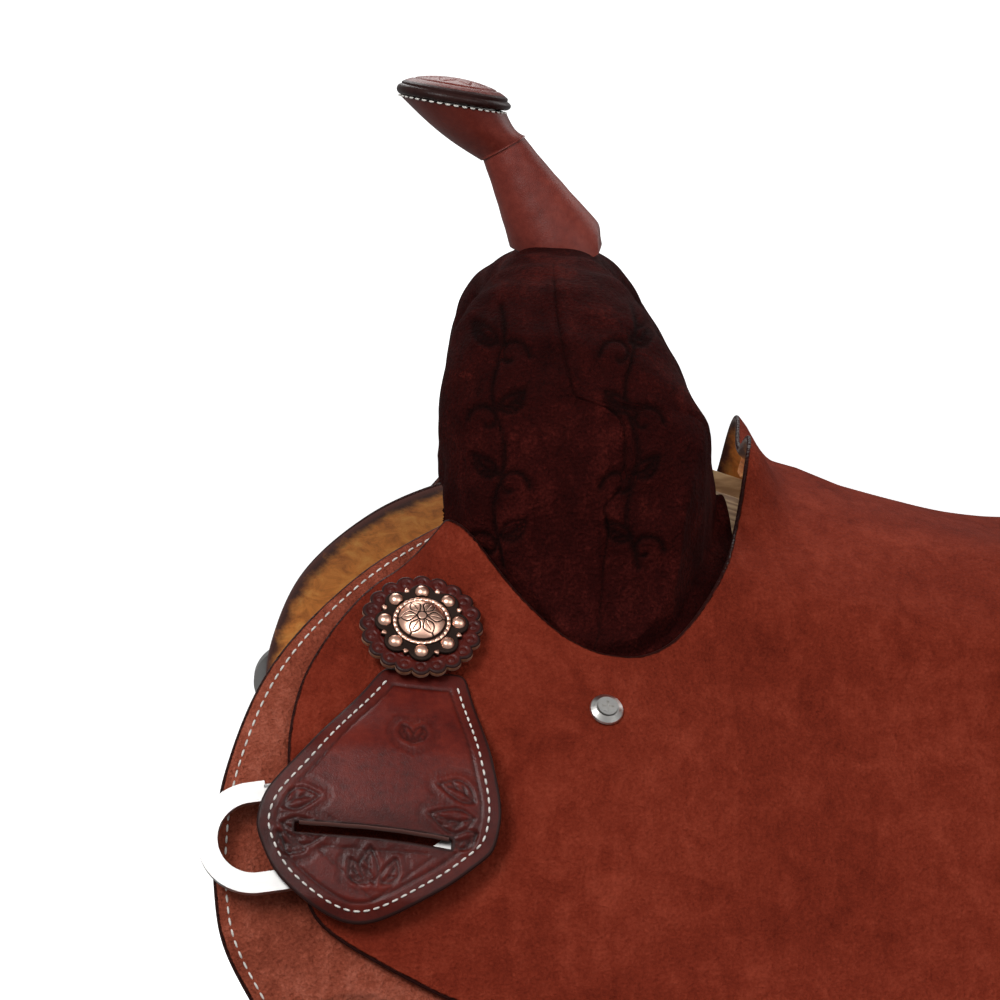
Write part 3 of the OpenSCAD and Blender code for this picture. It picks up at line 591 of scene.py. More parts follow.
def roughout(name, dark, mid, light, nap=1.0, paint=1.5):
    m = Mat(name)
    big = m.noise(11, 5, 0.6, 0.4)
    patches = m.noise(62, 6, 0.68, 0.8)
    streaks = m.noise(150, 5, 0.6, 0.5, m.stretch(1.0, 0.35, 0.35))
    fibre = m.noise(680, 4, 0.75, 0.4)
    fuzz = m.cells(520)
    tone = m.calc("ADD", m.calc("MULTIPLY", big, 0.28), m.calc("MULTIPLY", patches, 0.27))
    tone = m.calc("ADD", tone, m.calc("MULTIPLY", streaks, 0.15))
    tone = m.calc("ADD", tone, m.calc("MULTIPLY", fibre, 0.30))
    colour = m.ramp(tone, (0.36, dark), (0.50, mid), (0.63, light))
    hair = m.span(m.noise(2600, 2, 0.8), 0.60, 0.72, 0.0, 0.35)
    colour = m.blend(hair, colour, light)
    rough, keep = 0.9, 1.0
    if paint is not None:
        colour, rough, mask = painted_edge(m, colour, 0.9, paint)
        keep = m.calc("SUBTRACT", 1.0, mask)
    m.bump((patches, 0.5 * nap), (m.calc("MULTIPLY", streaks, keep), 0.5 * nap),
           (m.calc("MULTIPLY", fibre, keep), 0.55 * nap), (fuzz, 0.3 * nap))
    return m.done(colour, rough, sheen_weight=0.02, sheen_roughness=0.6, sheen_tint=(*light, 1),
                  specular_ior_level=0.05)


def smooth_leather(name, dark, mid, light, gloss=0.36, paint=1.5, coat=0.03, grain=1.0, plain=False):
    m = Mat(name)
    big = m.noise(26, 5, 0.6, 0.3)
    small = m.noise(260, 5, 0.65)
    pores = m.cells(1500)
    tone = m.calc("ADD", m.calc("MULTIPLY", big, 0.65), m.calc("MULTIPLY", small, 0.35))
    colour = m.ramp(tone, (0.34, dark), (0.5, mid), (0.66, light))
    rough = gloss
    if not plain:
        colour = m.blend(m.span(m.attr("rim"), 1.0, 14.0, 0.55, 0.0), colour, dark)
        colour, rough, mask = painted_edge(m, colour, gloss, paint)
    rough = m.calc("ADD", rough, m.calc("MULTIPLY", m.noise(90, 4), 0.12))
    crease = m.noise(420, 6, 0.6, 1.4)
    m.bump((m.attr("press"), 0.35), (crease, 0.10 * grain), (pores, 0.05 * grain), (small, 0.10 * grain))
    return m.done(colour, rough, coat_weight=coat, coat_roughness=0.3, specular_ior_level=0.16)


def natural_leather(name, dark, mid, light, bleed=9.0):
    """The undyed inner face: golden, with dye bled in from the edge."""
    m = Mat(name)
    cloud = m.noise(90, 6, 0.7, 0.6)
    fibre = m.noise(900, 4, 0.7, 0.5, m.stretch(1.0, 0.4, 0.4))
    colour = m.ramp(cloud, (0.3, dark), (0.5, mid), (0.72, light))
    if bleed:
        wander = m.calc("MULTIPLY", m.calc("SUBTRACT", m.noise(70, 5, 0.7), 0.5), -bleed * 1.6)
        dyed = m.span(m.calc("ADD", m.attr("rim"), wander), 1.0, bleed, 1.0, 0.0)
        colour = m.blend(dyed, colour, (0.06, 0.012, 0.006))
    m.bump((cloud, 0.3), (fibre, 0.22))
    return m.done(colour, 0.72, sheen_weight=0.1)


def metal(name, colour, rough, scratch=0.06, dark=None):
    m = Mat(name)
    marks = m.noise(700, 5, 0.6, 0.2, m.stretch(0.08, 1.0, 1.0))
    cloud = m.noise(60, 5, 0.6)
    tone = m.ramp(m.calc("ADD", m.calc("MULTIPLY", cloud, 0.6), m.calc("MULTIPLY", marks, 0.4)),
                  (0.3, [c * 0.86 for c in colour]), (0.6, colour))
    if dark:
        low = m.span(m.calc("ADD", m.attr("low"), m.calc("MULTIPLY", m.noise(500, 5, 0.7), 0.35)), 0.35, 0.75)
        tone = m.blend(low, tone, dark)
        m.set(m.out.inputs["Metallic"], 1.0)
        rough_s = m.calc("ADD", m.calc("MULTIPLY", low, 0.35), rough)
    else:
        m.set(m.out.inputs["Metallic"], 1.0)
        rough_s = m.calc("ADD", m.calc("MULTIPLY", marks, scratch), rough)
    m.bump((marks, 0.02), (m.noise(300, 4), 0.03 if dark else 0.008))
    return m.done(tone, rough_s)


def plain_stitch(name, colour):
    m = Mat(name)
    twist = m.node("TexWave", {"Vector": m.coords, "Scale": 900, "Distortion": 2.0,
                               "Detail": 2.0}).outputs["Fac"]
    dirt = m.noise(220, 4, 0.7)
    tone = m.ramp(dirt, (0.3, [c * 0.62 for c in colour]), (0.55, colour),
                  (0.8, [min(1, c * 1.1) for c in colour]))
    m.bump((twist, 0.12))
    return m.done(tone, 0.62, sheen_weight=0.15)


def wool_material():
    m = Mat("fleece")
    curl = m.noise(330, 6, 0.75, 1.6)
    lock = m.noise(75, 5, 0.6, 0.8)
    tone = m.calc("ADD", m.calc("MULTIPLY", curl, 0.6), m.calc("MULTIPLY", lock, 0.4))
    colour = m.ramp(tone, (0.34, (0.33, 0.23, 0.12)), (0.5, (0.70, 0.58, 0.40)), (0.66, (0.90, 0.82, 0.66)))
    m.bump((curl, 1.6), (m.noise(1400, 4, 0.8, 1.0), 0.5))
    return m.done(colour, 0.95, sheen_weight=0.4, sheen_roughness=0.4)


def wood_material():
    m = Mat("tree_wood")
    grain = m.node("TexWave", {"Vector": m.stretch(0.25, 1, 1), "Scale": 60, "Distortion": 6, "Detail": 4,
                               "Detail Scale": 2.0}, bands_direction="Y").outputs["Fac"]
    fine = m.noise(500, 5, 0.6, 0.0, m.stretch(0.1, 1, 1))
    tone = m.calc("ADD", m.calc("MULTIPLY", grain, 0.6), m.calc("MULTIPLY", fine, 0.4))
    colour = m.ramp(tone, (0.2, (0.28, 0.15, 0.06)), (0.55, (0.48, 0.30, 0.14)), (0.8, (0.62, 0.43, 0.22)))
    m.bump((fine, 0.12))
    return m.done(colour, 0.62)


SEAT = roughout("seat_roughout", (0.085, 0.009, 0.004), (0.160, 0.020, 0.009), (0.25, 0.040, 0.020), nap=1.6)
SEAT_PLAIN = roughout("cantle_roughout", (0.085, 0.009, 0.004), (0.160, 0.020, 0.009), (0.25, 0.040, 0.020),
                      1.6,
                      paint=None)
SKIRT = roughout("skirt_roughout", (0.12, 0.020, 0.010), (0.27, 0.060, 0.033), (0.46, 0.135, 0.085), nap=2.6)
SWELL = roughout("swell_roughout", (0.009, 0.001, 0.0009), (0.028, 0.0028, 0.0022), (0.085, 0.011, 0.008),
                 nap=2.8)
OXBLOOD = smooth_leather("cover_leather", (0.030, 0.004, 0.003), (0.085, 0.008, 0.005),
                         (0.135, 0.015, 0.008), 0.30)
BROWN = smooth_leather("horn_leather", (0.085, 0.012, 0.008), (0.135, 0.021, 0.014), (0.19, 0.034, 0.022),
                       0.34)
STRAP = smooth_leather("strap_leather", (0.075, 0.014, 0.007), (0.15, 0.030, 0.014), (0.23, 0.055, 0.026),
                       0.48, coat=0.0)
RIM_EDGE = smooth_leather("edge_leather", (0.010, 0.003, 0.003), (0.020, 0.006, 0.005),
                          (0.035, 0.011, 0.009), 0.3, paint=0.0)
NATURAL = natural_leather("natural_leather", (0.45, 0.12, 0.018), (0.80, 0.27, 0.042), (0.95, 0.45, 0.10))
TAN_EDGE = natural_leather("raw_edge", (0.20, 0.07, 0.025), (0.38, 0.16, 0.06), (0.52, 0.27, 0.12), bleed=0.6)
STRAP_PLAIN = smooth_leather("inner_strap_leather", (0.075, 0.014, 0.007), (0.15, 0.030, 0.014),
                             (0.23, 0.055, 0.026),
                             0.48, coat=0.0, plain=True)
NATURAL_PLAIN = natural_leather("lining_leather", (0.45, 0.12, 0.018), (0.80, 0.27, 0.042),
                                (0.95, 0.45, 0.10),
                                bleed=0)
STEEL = metal("polished_steel", (0.42, 0.41, 0.40), 0.34)
NICKEL = metal("nickel", (0.72, 0.70, 0.67), 0.22, 0.15)
COPPER = metal("antique_copper", (0.95, 0.56, 0.42), 0.30, dark=(0.035, 0.022, 0.018))
THREAD = plain_stitch("white_thread", (0.80, 0.76, 0.70))
WOOL = wool_material()
WOOD = wood_material()


# ---------------------------------------------------------------- camera and light
scene = bpy.context.scene
cam = bpy.data.objects.new("camera", bpy.data.cameras.new("camera"))
scene.collection.objects.link(cam)
cam.location = (0.202, 2.2, 0.310)
cam.rotation_euler = (math.radians(90 - 6.48), 0, math.radians(180))
cam.data.lens, cam.data.sensor_width = 158.4, 36
cam.data.clip_end = 50
scene.camera = cam
scene.view_settings.view_transform = "Standard"

world = bpy.data.worlds.new("studio")
scene.world = world
world.use_nodes = True
world.node_tree.nodes["Background"].inputs["Color"].default_value = (1, 1, 1, 1)
world.node_tree.nodes["Background"].inputs["Strength"].default_value = 0.32


def area_light(name, at, target, size, watts):
    light = bpy.data.lights.new(name, "AREA")
    light.energy, light.size = watts, size
    obj = bpy.data.objects.new(name, light)
    obj.location = at
    obj.rotation_euler = (Vector(target) - Vector(at)).to_track_quat("-Z", "Y").to_euler()
    scene.collection.objects.link(obj)


area_light("key", (1.5, 2.4, 2.2), (0.1, 0, 0), 1.4, 82)
area_light("fill", (-1.7, 2.0, 1.3), (0, 0, 0), 1.8, 22)
area_light("rim", (0.4, -2.2, 2.0), (0, 0, 0), 1.6, 34)
area_light("front", (-0.2, 2.7, 1.7), (0.1, 0.2, 0), 1.6, 7)
area_light("back_left", (-2.0, -1.6, 1.4), (0, 0, 0), 1.8, 20)

FLOOR_Z, ROOM = -0.72, 9.0


def staged(name, verts, faces, glow):
    """A pale piece of the studio that only the camera sees, so it adds no light of its own."""
    m = Mat(name + "_paper")
    tone = m.ramp(m.noise(3, 3), (0.3, (0.93, 0.93, 0.93)), (0.7, (0.96, 0.96, 0.96)))
    m.done(tone, 0.9, emission_strength=glow)
    m.set(m.out.inputs["Emission Color"], (1, 1, 1))
    obj = put(name, np.array(verts) * 1000, faces, m.mat)
    obj.visible_diffuse = obj.visible_glossy = obj.visible_shadow = False


R = ROOM
staged("floor", [[-R, -R, FLOOR_Z], [R, -R, FLOOR_Z], [R, R, FLOOR_Z], [-R, R, FLOOR_Z]], [[0, 1, 2, 3]], 0.8)
corners_q = [[a * R, b * R, c * R] for c in (-1, 1) for a, b in ((-1, -1), (1, -1), (1, 1), (-1, 1))]
staged("backdrop", corners_q, [[0, 1, 5, 4], [1, 2, 6, 5], [2, 3, 7, 6], [3, 0, 4, 7], [4, 5, 6, 7],
                               [3, 2, 1, 0]], 1.0)

FINE = 1.0
SIDES = (("left", False), ("right", True))


# ---------------------------------------------------------------- shared shapes
def curve_points(curves, step=0.6):
    """Points close together along several curves of [a, b] positions."""
    out = []
    for c in curves:
        p = along(c, np.linspace(0, 1, 40 * len(c)))
        d = np.r_[0, np.cumsum(np.linalg.norm(np.diff(p, axis=0), axis=1))]
        t = np.arange(0, d[-1], step)
        out.append(np.stack([np.interp(t, d, p[:, k]) for k in (0, 1)], 1))
    return np.concatenate(out)


def near_curves(points, curves):
    """Distance from each [a, b] point to the nearest of the curves."""
    line = curve_points(curves)
    tree = kdtree.KDTree(len(line))
    for i, q in enumerate(line.tolist()):
        tree.insert((q[0], q[1], 0), i)
    tree.balance()
    return np.array([tree.find((a, b, 0))[2] for a, b in points.tolist()])


def bell(d, width):
    return np.exp(-(d / width) ** 2)


class Frame:
    """A flat working plane that touches the saddle's side: local X forwards, Y down, Z outwards."""

    def __init__(self, x, s, h, turn=0.0):
        o, n = skin(x, s, h), normal(np.float64(x), np.float64(s))
        f = unit(np.cross(np.cross(n, [1, 0, 0]), n))
        d = np.cross(n, f)
        c, q = math.cos(math.radians(turn)), math.sin(math.radians(turn))
        self.o, self.f, self.d, self.n = o, c * f + q * d, c * d - q * f, n

    def at(self, p):
        p = np.asarray(p, float)
        return self.o + p[..., :1] * self.f + p[..., 1:2] * self.d + p[..., 2:3] * self.n


def disc(frame, radius, height, back=0.0, rings=48, spokes=160, low=None, mat=0, side_mat=0):
    """A closed disc: radius(angle) is its outline, height(r, angle) its face, in the frame's plane."""
    a = np.arange(spokes) * 2 * math.pi / spokes
    k = np.linspace(0, 1, rings) ** 0.85
    r = k[:, None] * radius(a)[None]
    aa = np.broadcast_to(a, r.shape)
    z = height(r, aa)
    top = np.stack([r * np.cos(aa), r * np.sin(aa), z], -1).reshape(-1, 3)
    faces = grid_faces(rings, spokes, True)[:, ::-1]
    attrs = {"low": low(r, aa).ravel()} if low else {}
    p = Piece()
    flip_d = frame.at(top)
    p.add(flip_d, faces[:, ::-1], mat, rim=((1 - k)[:, None] * radius(a)[None]).ravel(), **attrs)
    edge = top[-spokes:].copy()
    under = edge.copy()
    under[:, 2] = back
    wall = np.concatenate([edge, under, np.array([[0, 0, back]])])
    n = spokes
    ring = [[i, (i + 1) % n, n + (i + 1) % n, n + i] for i in range(n)]
    cap = [[n + i, n + (i + 1) % n, 2 * n] for i in range(n)]
    p.add(frame.at(wall), ring + cap, side_mat, rim=0.0, **({"low": 1.0} if low else {}))
    return p


def loft(rings, closed_ends=True):
    """Verts and faces through rings with the same number of points."""
    v = np.concatenate(rings)
    m = len(rings[0])
    f = grid_faces(len(rings), m, True).tolist()
    if closed_ends:
        first, last = list(range(m)), list(range(len(v) - m, len(v)))
        f += [first, last[::-1]]
    return v, f


def slab(outer, inner, nu, nv):
    """A closed sheet between two grids of points, each nu by nv."""
    v = np.concatenate([outer.reshape(-1, 3), inner.reshape(-1, 3)])
    n = nu * nv
    top = grid_faces(nu, nv)
    f = top.tolist() + (top[:, ::-1] + n).tolist()
    ids = np.arange(n).reshape(nu, nv)
    border = np.concatenate([ids[0, :-1], ids[:-1, -1], ids[-1, :0:-1], ids[:0:-1, 0]])
    for a, b in zip(border, np.roll(border, -1)):
        f.append([int(b), int(a), int(a) + n, int(b) + n])
    return v, f


# ---------------------------------------------------------------- skirts and wool
MEDALLION = (266, 398)            # middle of the tooled fan on the front skirt


def skirt_surf(x, s, h):
    return skin(x, s, h - 5)


def medallion(q, rim):
    """A fan of rays between two arcs, cut near the front skirt's lower edge."""
    d = np.hypot(q[:, 0] - MEDALLION[0], q[:, 1] - MEDALLION[1])
    a = np.arctan2(q[:, 1] - MEDALLION[1], q[:, 0] - MEDALLION[0])
    ray = np.abs(((a / math.radians(7.5)) % 1) - 0.5) * 2
    rays = np.where((d > 22) & (d < 33), ease(1 - ray * (d - 16) / 12), 0)
    return 0.6 * np.where(q[:, 1] < 408, bell(d - 37, 0.9) + 0.8 * bell(d - 34.6, 0.7) + rays, 0)


for where, mirror in SIDES:
    p, loop = leather_piece(closed((SKIRT_TOP, False), (SKIRT_BOTTOM, True)), skirt_surf, 5, 2.2 * FINE,
                            2.4, 2.2,
                            carve=medallion)
    p.make("skirt_leather_" + where, [SKIRT, NATURAL], mirror, body="saddle", replaces=["skirt_" + where],
           slot="roughout")
    st = stitched(loop, 5.8, skirt_surf, 4.95, pitch=5.3, length=3.9, r=0.5)
    st.make("skirt_stitching_" + where, [THREAD], mirror, body="saddle")

    rng = np.random.default_rng(5)
    waves = [(rng.uniform(0.03, 0.22), rng.uniform(0.03, 0.22), rng.uniform(0, 6.28)) for _ in range(14)]

    def wool_surf(x, s, h):
        lumps = sum(np.sin(a * x + q) * np.sin(b * s + 2 * q) for a, b, q in waves) / 5
        return skin(x, s, h - 21.6 + np.where(h < 7, 0.9 * lumps, 0))

    p, loop = leather_piece(closed((WOOL_TOP, False), (WOOL_BOTTOM, True)), wool_surf, 14.4, 5 * FINE, 3.2,
                            6.2, under_mat=0)
    p.make("fleece_" + where, [WOOL], mirror, body="saddle", replaces=["wool_" + where], slot="fleece")

# ---------------------------------------------------------------- seat
seat_left = along(SEAT_BOTTOM, T)
seat_u = along(SEAT_U, T)
mirror_s = np.array([1, -1])
outline = np.concatenate([seat_left, seat_left[::-1] * mirror_s, seat_u * mirror_s, seat_u[::-1]])
p, _ = leather_piece(outline, seat_point, 4, 4.0 * FINE, 2.2, 1.7, smooth=2)
p.make("seat_leather", [SEAT, NATURAL], body="saddle", replaces=["seat_cover"], slot="roughout")

PAD_FRONT, PAD_REAR, PAD_HALF, PAD_H, PAD_FADE, PAD_N = 60, -165, 46, -6.3, 10, (60, 31)
fu, fv = np.meshgrid(np.linspace(PAD_FRONT, PAD_REAR, PAD_N[0]), np.linspace(-PAD_HALF, PAD_HALF, PAD_N[1]),
                     indexing="ij")
edge_u = np.minimum(1, np.minimum(PAD_FRONT - fu, fu - PAD_REAR) / PAD_FADE) ** 0.5
edge_v = np.minimum(1, (PAD_HALF - np.abs(fv)) / PAD_FADE) ** 0.5
puff = edge_u * edge_v
v, f = slab(seat_point(fu, fv, PAD_H + 2.4 * puff), seat_point(fu, fv, PAD_H - 0.1 * puff), *PAD_N)
foam_mat = Mat("seat_felt")
foam_tone = foam_mat.ramp(foam_mat.noise(800, 5, 0.7), (0.35, (0.42, 0.40, 0.36)), (0.65, (0.68, 0.66, 0.60)))
foam_mat.bump((foam_mat.noise(1500, 4, 0.7), 0.3))
foam_obj = put("seat_padding", v, [face[::-1] for face in f],
               foam_mat.done(foam_tone, 0.95, sheen_weight=0.2),
               body="saddle", replaces=["seat_foam"], slot="foam")

# ---------------------------------------------------------------- swell
def leaf(x, s, turn, size, flip_side=1):
    """Outlines and veins of one tooled leaf, as curves on the flat."""
    c, q = math.cos(math.radians(turn)), math.sin(math.radians(turn))

    def put_in(points):
        return [[x + size * (a * c - flip_side * b * q), s + size * (a * q + flip_side * b * c)] for a,
                b in points]

    return [put_in([[0, 0], [0.25, 0.30], [0.6, 0.34], [1.0, 0.02]]),
            put_in([[0, 0], [0.3, -0.14], [0.65, -0.1], [1.0, 0.02]]),
            put_in([[0.05, 0.02], [0.4, 0.12], [0.8, 0.06]]),
            put_in([[0.28, 0.1], [0.36, 0.2], [0.46, 0.26]]),
            put_in([[0.5, 0.1], [0.6, 0.17], [0.7, 0.19]])]


VINE_LOW, VINE_TOP, VINE_STEP = 46, 170, 30


def curl(x, z, size, start, hand):
    """A tooled stem that winds in to its middle."""
    t = np.linspace(0, 1, 14)
    a, r = math.radians(start) + hand * 5.2 * t, size * (1 - 0.85 * t)
    return np.stack([x + r * np.cos(a), z + r * np.sin(a)], 1).tolist()


def vine(x, hand):
    """A waving stem with a curl and a leaf at every step, turned to each side in turn."""
    curves = [[[x + 3 * math.sin(z / 9), z] for z in range(VINE_LOW, VINE_TOP, 8)]]
    for i, z in enumerate(range(VINE_LOW, VINE_TOP - 8, VINE_STEP)):
        way = hand * (-1) ** i
        curves += [curl(x + 6 * way, z + 8, 9, 90 - 90 * way, way)] + leaf(x, z + 14, 90 + 55 * way, 15, way)
    return curves


FRONT_VINE_X, REAR_VINE_X = 203, 140
CARVED = vine(FRONT_VINE_X, 1) + vine(REAR_VINE_X, -1)
nt, nw = int(520 / FINE), int(180 / FINE)
tt = np.linspace(-1, 1, nt)
dense_w = np.sin(np.linspace(-1, 1, 801) * math.pi / 2)


def even_rows(grow):
    """Fork points spaced evenly from the rear edge to the front one, row by row."""
    rows = []
    for t in tt:
        q = flip(fork_point(abs(t), dense_w, 2.8), np.full(len(dense_w), t))
        d = np.r_[0, np.cumsum(np.linalg.norm(np.diff(q, axis=0), axis=1))]
        w = np.interp(np.linspace(0, d[-1], nw), d, dense_w)
        rows.append(flip(fork_point(abs(t), w, grow, 4.0 if grow > 1 else 1.6), np.full(nw, t)))
    return np.array(rows)


swell = even_rows(2.8)
for _ in range(3):
    inner_rows = (swell[:-2] + 2 * swell[1:-1] + swell[2:]) / 4
    swell[1:-1] = inner_rows
    swell[:, 1:-1] = (swell[:, :-2] + 2 * swell[:, 1:-1] + swell[:, 2:]) / 4
du, dv = np.gradient(swell, axis=0), np.gradient(swell, axis=1)
swell_n = unit(np.cross(dv, du))
swell_n *= np.where((swell_n * (swell - [175, 0, 60])).sum(-1, keepdims=True) < 0, -1, 1)
flat = np.stack([swell[..., 0], swell[..., 2]], -1).reshape(-1, 2)
facing = np.clip((np.abs(swell_n[..., 1]) - 0.12) / 0.3, 0, 1).ravel()
cut = near_curves(flat, CARVED)
arc = np.cumsum(np.linalg.norm(dv, axis=-1), axis=1)
seam_d = np.abs(arc - arc[:, nw // 2, None]).ravel()
carve = np.clip(bell(cut, 1.3), 0, 1) * facing
seam_k = bell(seam_d, 0.7) * facing
rng = np.random.default_rng(3)
swell_lumps = np.zeros(nt * nw)
pts = swell.reshape(-1, 3)
for _ in range(26):
    k = rng.normal(size=3)
    k *= rng.uniform(0.10, 0.34) / np.linalg.norm(k)
    swell_lumps += np.sin(pts @ k + rng.uniform(0, 6.28)) * 0.16
low_part = ease((60 - pts[:, 2]) / 50)
pucker = 0.5 * low_part * np.sin(pts[:, 0] * 0.62 + 0.09 * pts[:, 2]) * facing
CUT_DEEP = 1.1                     # depth of the carving and of the seam
push = swell_lumps + pucker - CUT_DEEP * carve + 0.3 * bell(cut - 3.0, 1.3) * facing
push = push - CUT_DEEP * seam_k + 0.5 * bell(seam_d - 2.6, 1.8) * facing
push *= ease((pts[:, 2] - 6) / 34)
outer = (pts + swell_n.reshape(-1, 3) * push[:, None]).reshape(nt, nw, 3)
inner_s = swell - swell_n * 2.2
v, f = slab(outer, inner_s, nt, nw)
rim_w = np.tile(np.minimum(np.arange(nw), np.arange(nw)[::-1]) * 1.3, nt)
# carve marks the carved lines and the seam groove, which the swell material darkens as painted shade
attrs = {"carve": np.r_[np.clip(carve + 0.55 * seam_k, 0, 1), np.zeros(nt * nw)],
         "rim": np.r_[rim_w + 2, rim_w + 2]}
put("swell_leather", v, [face[::-1] for face in f], SWELL, attrs=attrs, body="saddle",
    replaces=["swell_cover"], slot="swell_roughout")

LINER_T, BED, LINER_N = 2.4, 2, (160, 30)


def gullet_point(t, x):
    g = along(GULLET, np.minimum(1, t / 0.5))
    return vec(x, g[..., 0], g[..., 1] + (spine_z(x) - 82) * ease(t / 0.5))


BAR_TOP = [[226, 86], [212, 64], [120, 50], [0, 48], [-120, 48], [-225, 48], [-266, 74]]
BAR_BOTTOM = [[226, 110], [212, 164], [120, 172], [0, 152], [-120, 158], [-225, 156], [-266, 112]]
for where, mirror in SIDES:
    p, loop = leather_piece(closed((BAR_TOP, False), (BAR_BOTTOM, True)),
                            lambda x, s, h: skin(x, s, mix(BED, bar_h(x, s), h / 20)), 20, 5 * FINE, 3, 1.4)
    p.make("tree_bar_wood_" + where, [WOOD, WOOD], mirror, body="saddle", replaces=["tree_bar_" + where],
           slot="wood")

fork_rings = []
for t in np.linspace(-0.7, 0.7, 61):
    p = along(FORK_PATH, abs(t))
    arch = gullet_point(abs(t), np.array([p[2] - 5, (p[2] + p[3]) / 2 + 8, p[3] + 24]))
    if abs(t) > 0.5:
        s_in = mix(57, 122, (abs(t) - 0.5) / 0.22)
        arch = skin(arch[:, 0], s_in, bar_h(arch[:, 0], s_in) - 3)
    ring_q = np.concatenate([fork_point(abs(t), np.linspace(-0.6, 1, 25), -8.0, -4.0), arch])
    fork_rings.append(flip(ring_q, np.full(len(ring_q), t)))
v, f = loft(fork_rings)
# the fork wears the near-black swell leather instead of wood, as painted shade where it shows through the
# gaps round the swell
put("tree_fork_painted_shade", v, f, SWELL, attrs={"rim": np.full(len(v), 30.0)}, body="saddle",
    replaces=["tree_fork"],
    slot="wood")

# ---------------------------------------------------------------- horn
NECK_FOOT, LEAN, NECK_LEN = np.array([174, 0, FORK_TOP + 3.4]), math.radians(29), 64
CAP_MID, CAP_TILT, CAP_R = np.array([225, 0, 262]), math.radians(-9.7), 29


def tilted(base, angle, p):
    c, s = math.cos(angle), math.sin(angle)
    p = np.asarray(p, float)
    return base + np.stack([p[..., 0] * c + p[..., 2] * s, p[..., 1], -p[..., 0] * s + p[..., 2] * c], -1)


neck_h = np.linspace(-14, 54.5, 90)
neck_r = np.interp(neck_h + 12, [-2, 0, 13, 30, 50, 64, 72], [24.4, 24, 22.5, 18.5, 14.2, 11.7, 10.9])
for _ in range(12):
    neck_r[1:-1] = (neck_r[:-2] + 2 * neck_r[1:-1] + neck_r[2:]) / 4
AROUND = 96                        # points round the horn
aa = np.arange(AROUND) * 2 * math.pi / AROUND
wrinkle = 0.07 * np.sin(neck_h[:, None] * 0.5 + 2.1 * np.cos(aa[None] * 2) + 0.8
                        * np.sin(3 * aa[None])) * ease((neck_h[:, None] + 4) / 30)
rr = neck_r[:, None] * (1 + 0.03 * np.cos(2 * aa[None])) + wrinkle
seam_front = bell(np.angle(np.exp(1j * (aa - math.pi)))[None] * rr, 0.9)
rr = rr - 0.8 * seam_front
ring_pts = np.stack([rr * np.cos(aa[None]), rr * np.sin(aa[None]),
                     np.broadcast_to(neck_h[:, None], rr.shape)], -1)
ring_pts = tilted(NECK_FOOT, LEAN, ring_pts)
foot = 187.5 - 0.014 * (ring_pts[..., 1]) ** 2
ring_pts[..., 2] = np.maximum(ring_pts[..., 2], foot)
FOOT_REAR, FOOT_HIGH = 153, 206     # the neck's foot is drawn in behind and below these
back = np.maximum(0, FOOT_REAR - ring_pts[..., 0]) * ease((FOOT_HIGH - ring_pts[..., 2]) / 14)
ring_pts[..., 0] += 0.75 * back
v, f = loft(list(ring_pts))
neck_rim = np.broadcast_to(np.maximum(0, ring_pts[..., 2] - foot)[..., None],
                           ring_pts.shape[:2] + (1,)).ravel() + 1.2
put("horn_neck_leather", v, f, BROWN, attrs={"rim": neck_rim}, body="saddle", replaces=["horn_neck_cover"],
    slot="smooth")

under_rings = []
UNDER_STEPS = 26
for k in np.linspace(0, 1, UNDER_STEPS):
    low_ring = tilted(NECK_FOOT, LEAN, np.stack([12.6 * np.cos(aa), 12.2 * np.sin(aa),
                                                 np.full(AROUND, NECK_LEN - 10.0)], -1))
    high = tilted(CAP_MID, CAP_TILT, np.stack([(CAP_R - 2) * np.cos(aa), (CAP_R - 2) * np.sin(aa),
                                               np.full(AROUND, -3.2)], -1))
    q = low_ring * (1 - k) + high * k
    sag = tilted(np.zeros(3), CAP_TILT, np.array([0, 0, 1.0])) * 2.4 * math.sin(math.pi * k)
    under_rings.append(q - sag)
v, f = loft(under_rings)
put("horn_cap_underside", v, f, BROWN, attrs={"rim": np.repeat(np.linspace(26, 1.0, UNDER_STEPS), AROUND)},
    body="saddle",
    replaces=["horn_cap_under"], slot="smooth")

CORD = 20                          # points round the bound edge's cord
ss = np.arange(CORD) * 2 * math.pi / CORD
rim_rings = []
for a in aa:
    c, s = math.cos(a), math.sin(a)
    q = np.stack([(CAP_R - 3.2 + 3.1 * np.cos(ss)) * c, (CAP_R - 3.2 + 3.1 * np.cos(ss)) * s,
                  3.0 * np.sin(ss) * (0.86 + 0.1 * math.cos(a))], -1)
    rim_rings.append(tilted(CAP_MID, CAP_TILT, q))
v = np.concatenate(rim_rings)
f = []
for i in range(len(aa)):
    at, after = i * CORD, ((i + 1) % len(aa)) * CORD
    f += [[at + j, after + j, after + (j + 1) % CORD, at + (j + 1) % CORD] for j in range(CORD)]
put("horn_cap_edge", v, f, RIM_EDGE, attrs={"rim": np.full(len(v), 9.0)}, body="saddle",
    replaces=["horn_cap_rim"], slot="edge")


class CapFrame:
    def at(self, p):
        p = np.asarray(p, float) * [1, -1, 1]
        return tilted(CAP_MID, CAP_TILT, p)


def cap_height(r, a):
    dome = 1.6 + 10.6 * np.sqrt(np.maximum(0, 1 - (r / 29.5) ** 2)) - 2.4
    petals = bell(np.abs(((a / (2 * math.pi / 8)) % 1) - 0.5) * 2 * r * 0.39
                  - (4.4 * np.sin(np.clip(r / 18, 0, 1) * math.pi)), 0.8)
    tooling = 0.5 * petals * (r > 3.5) * (r < 18) + 0.6 * bell(r - 21, 0.6) + 0.5 * bell(r - 3.2, 0.6)
    return dome - tooling


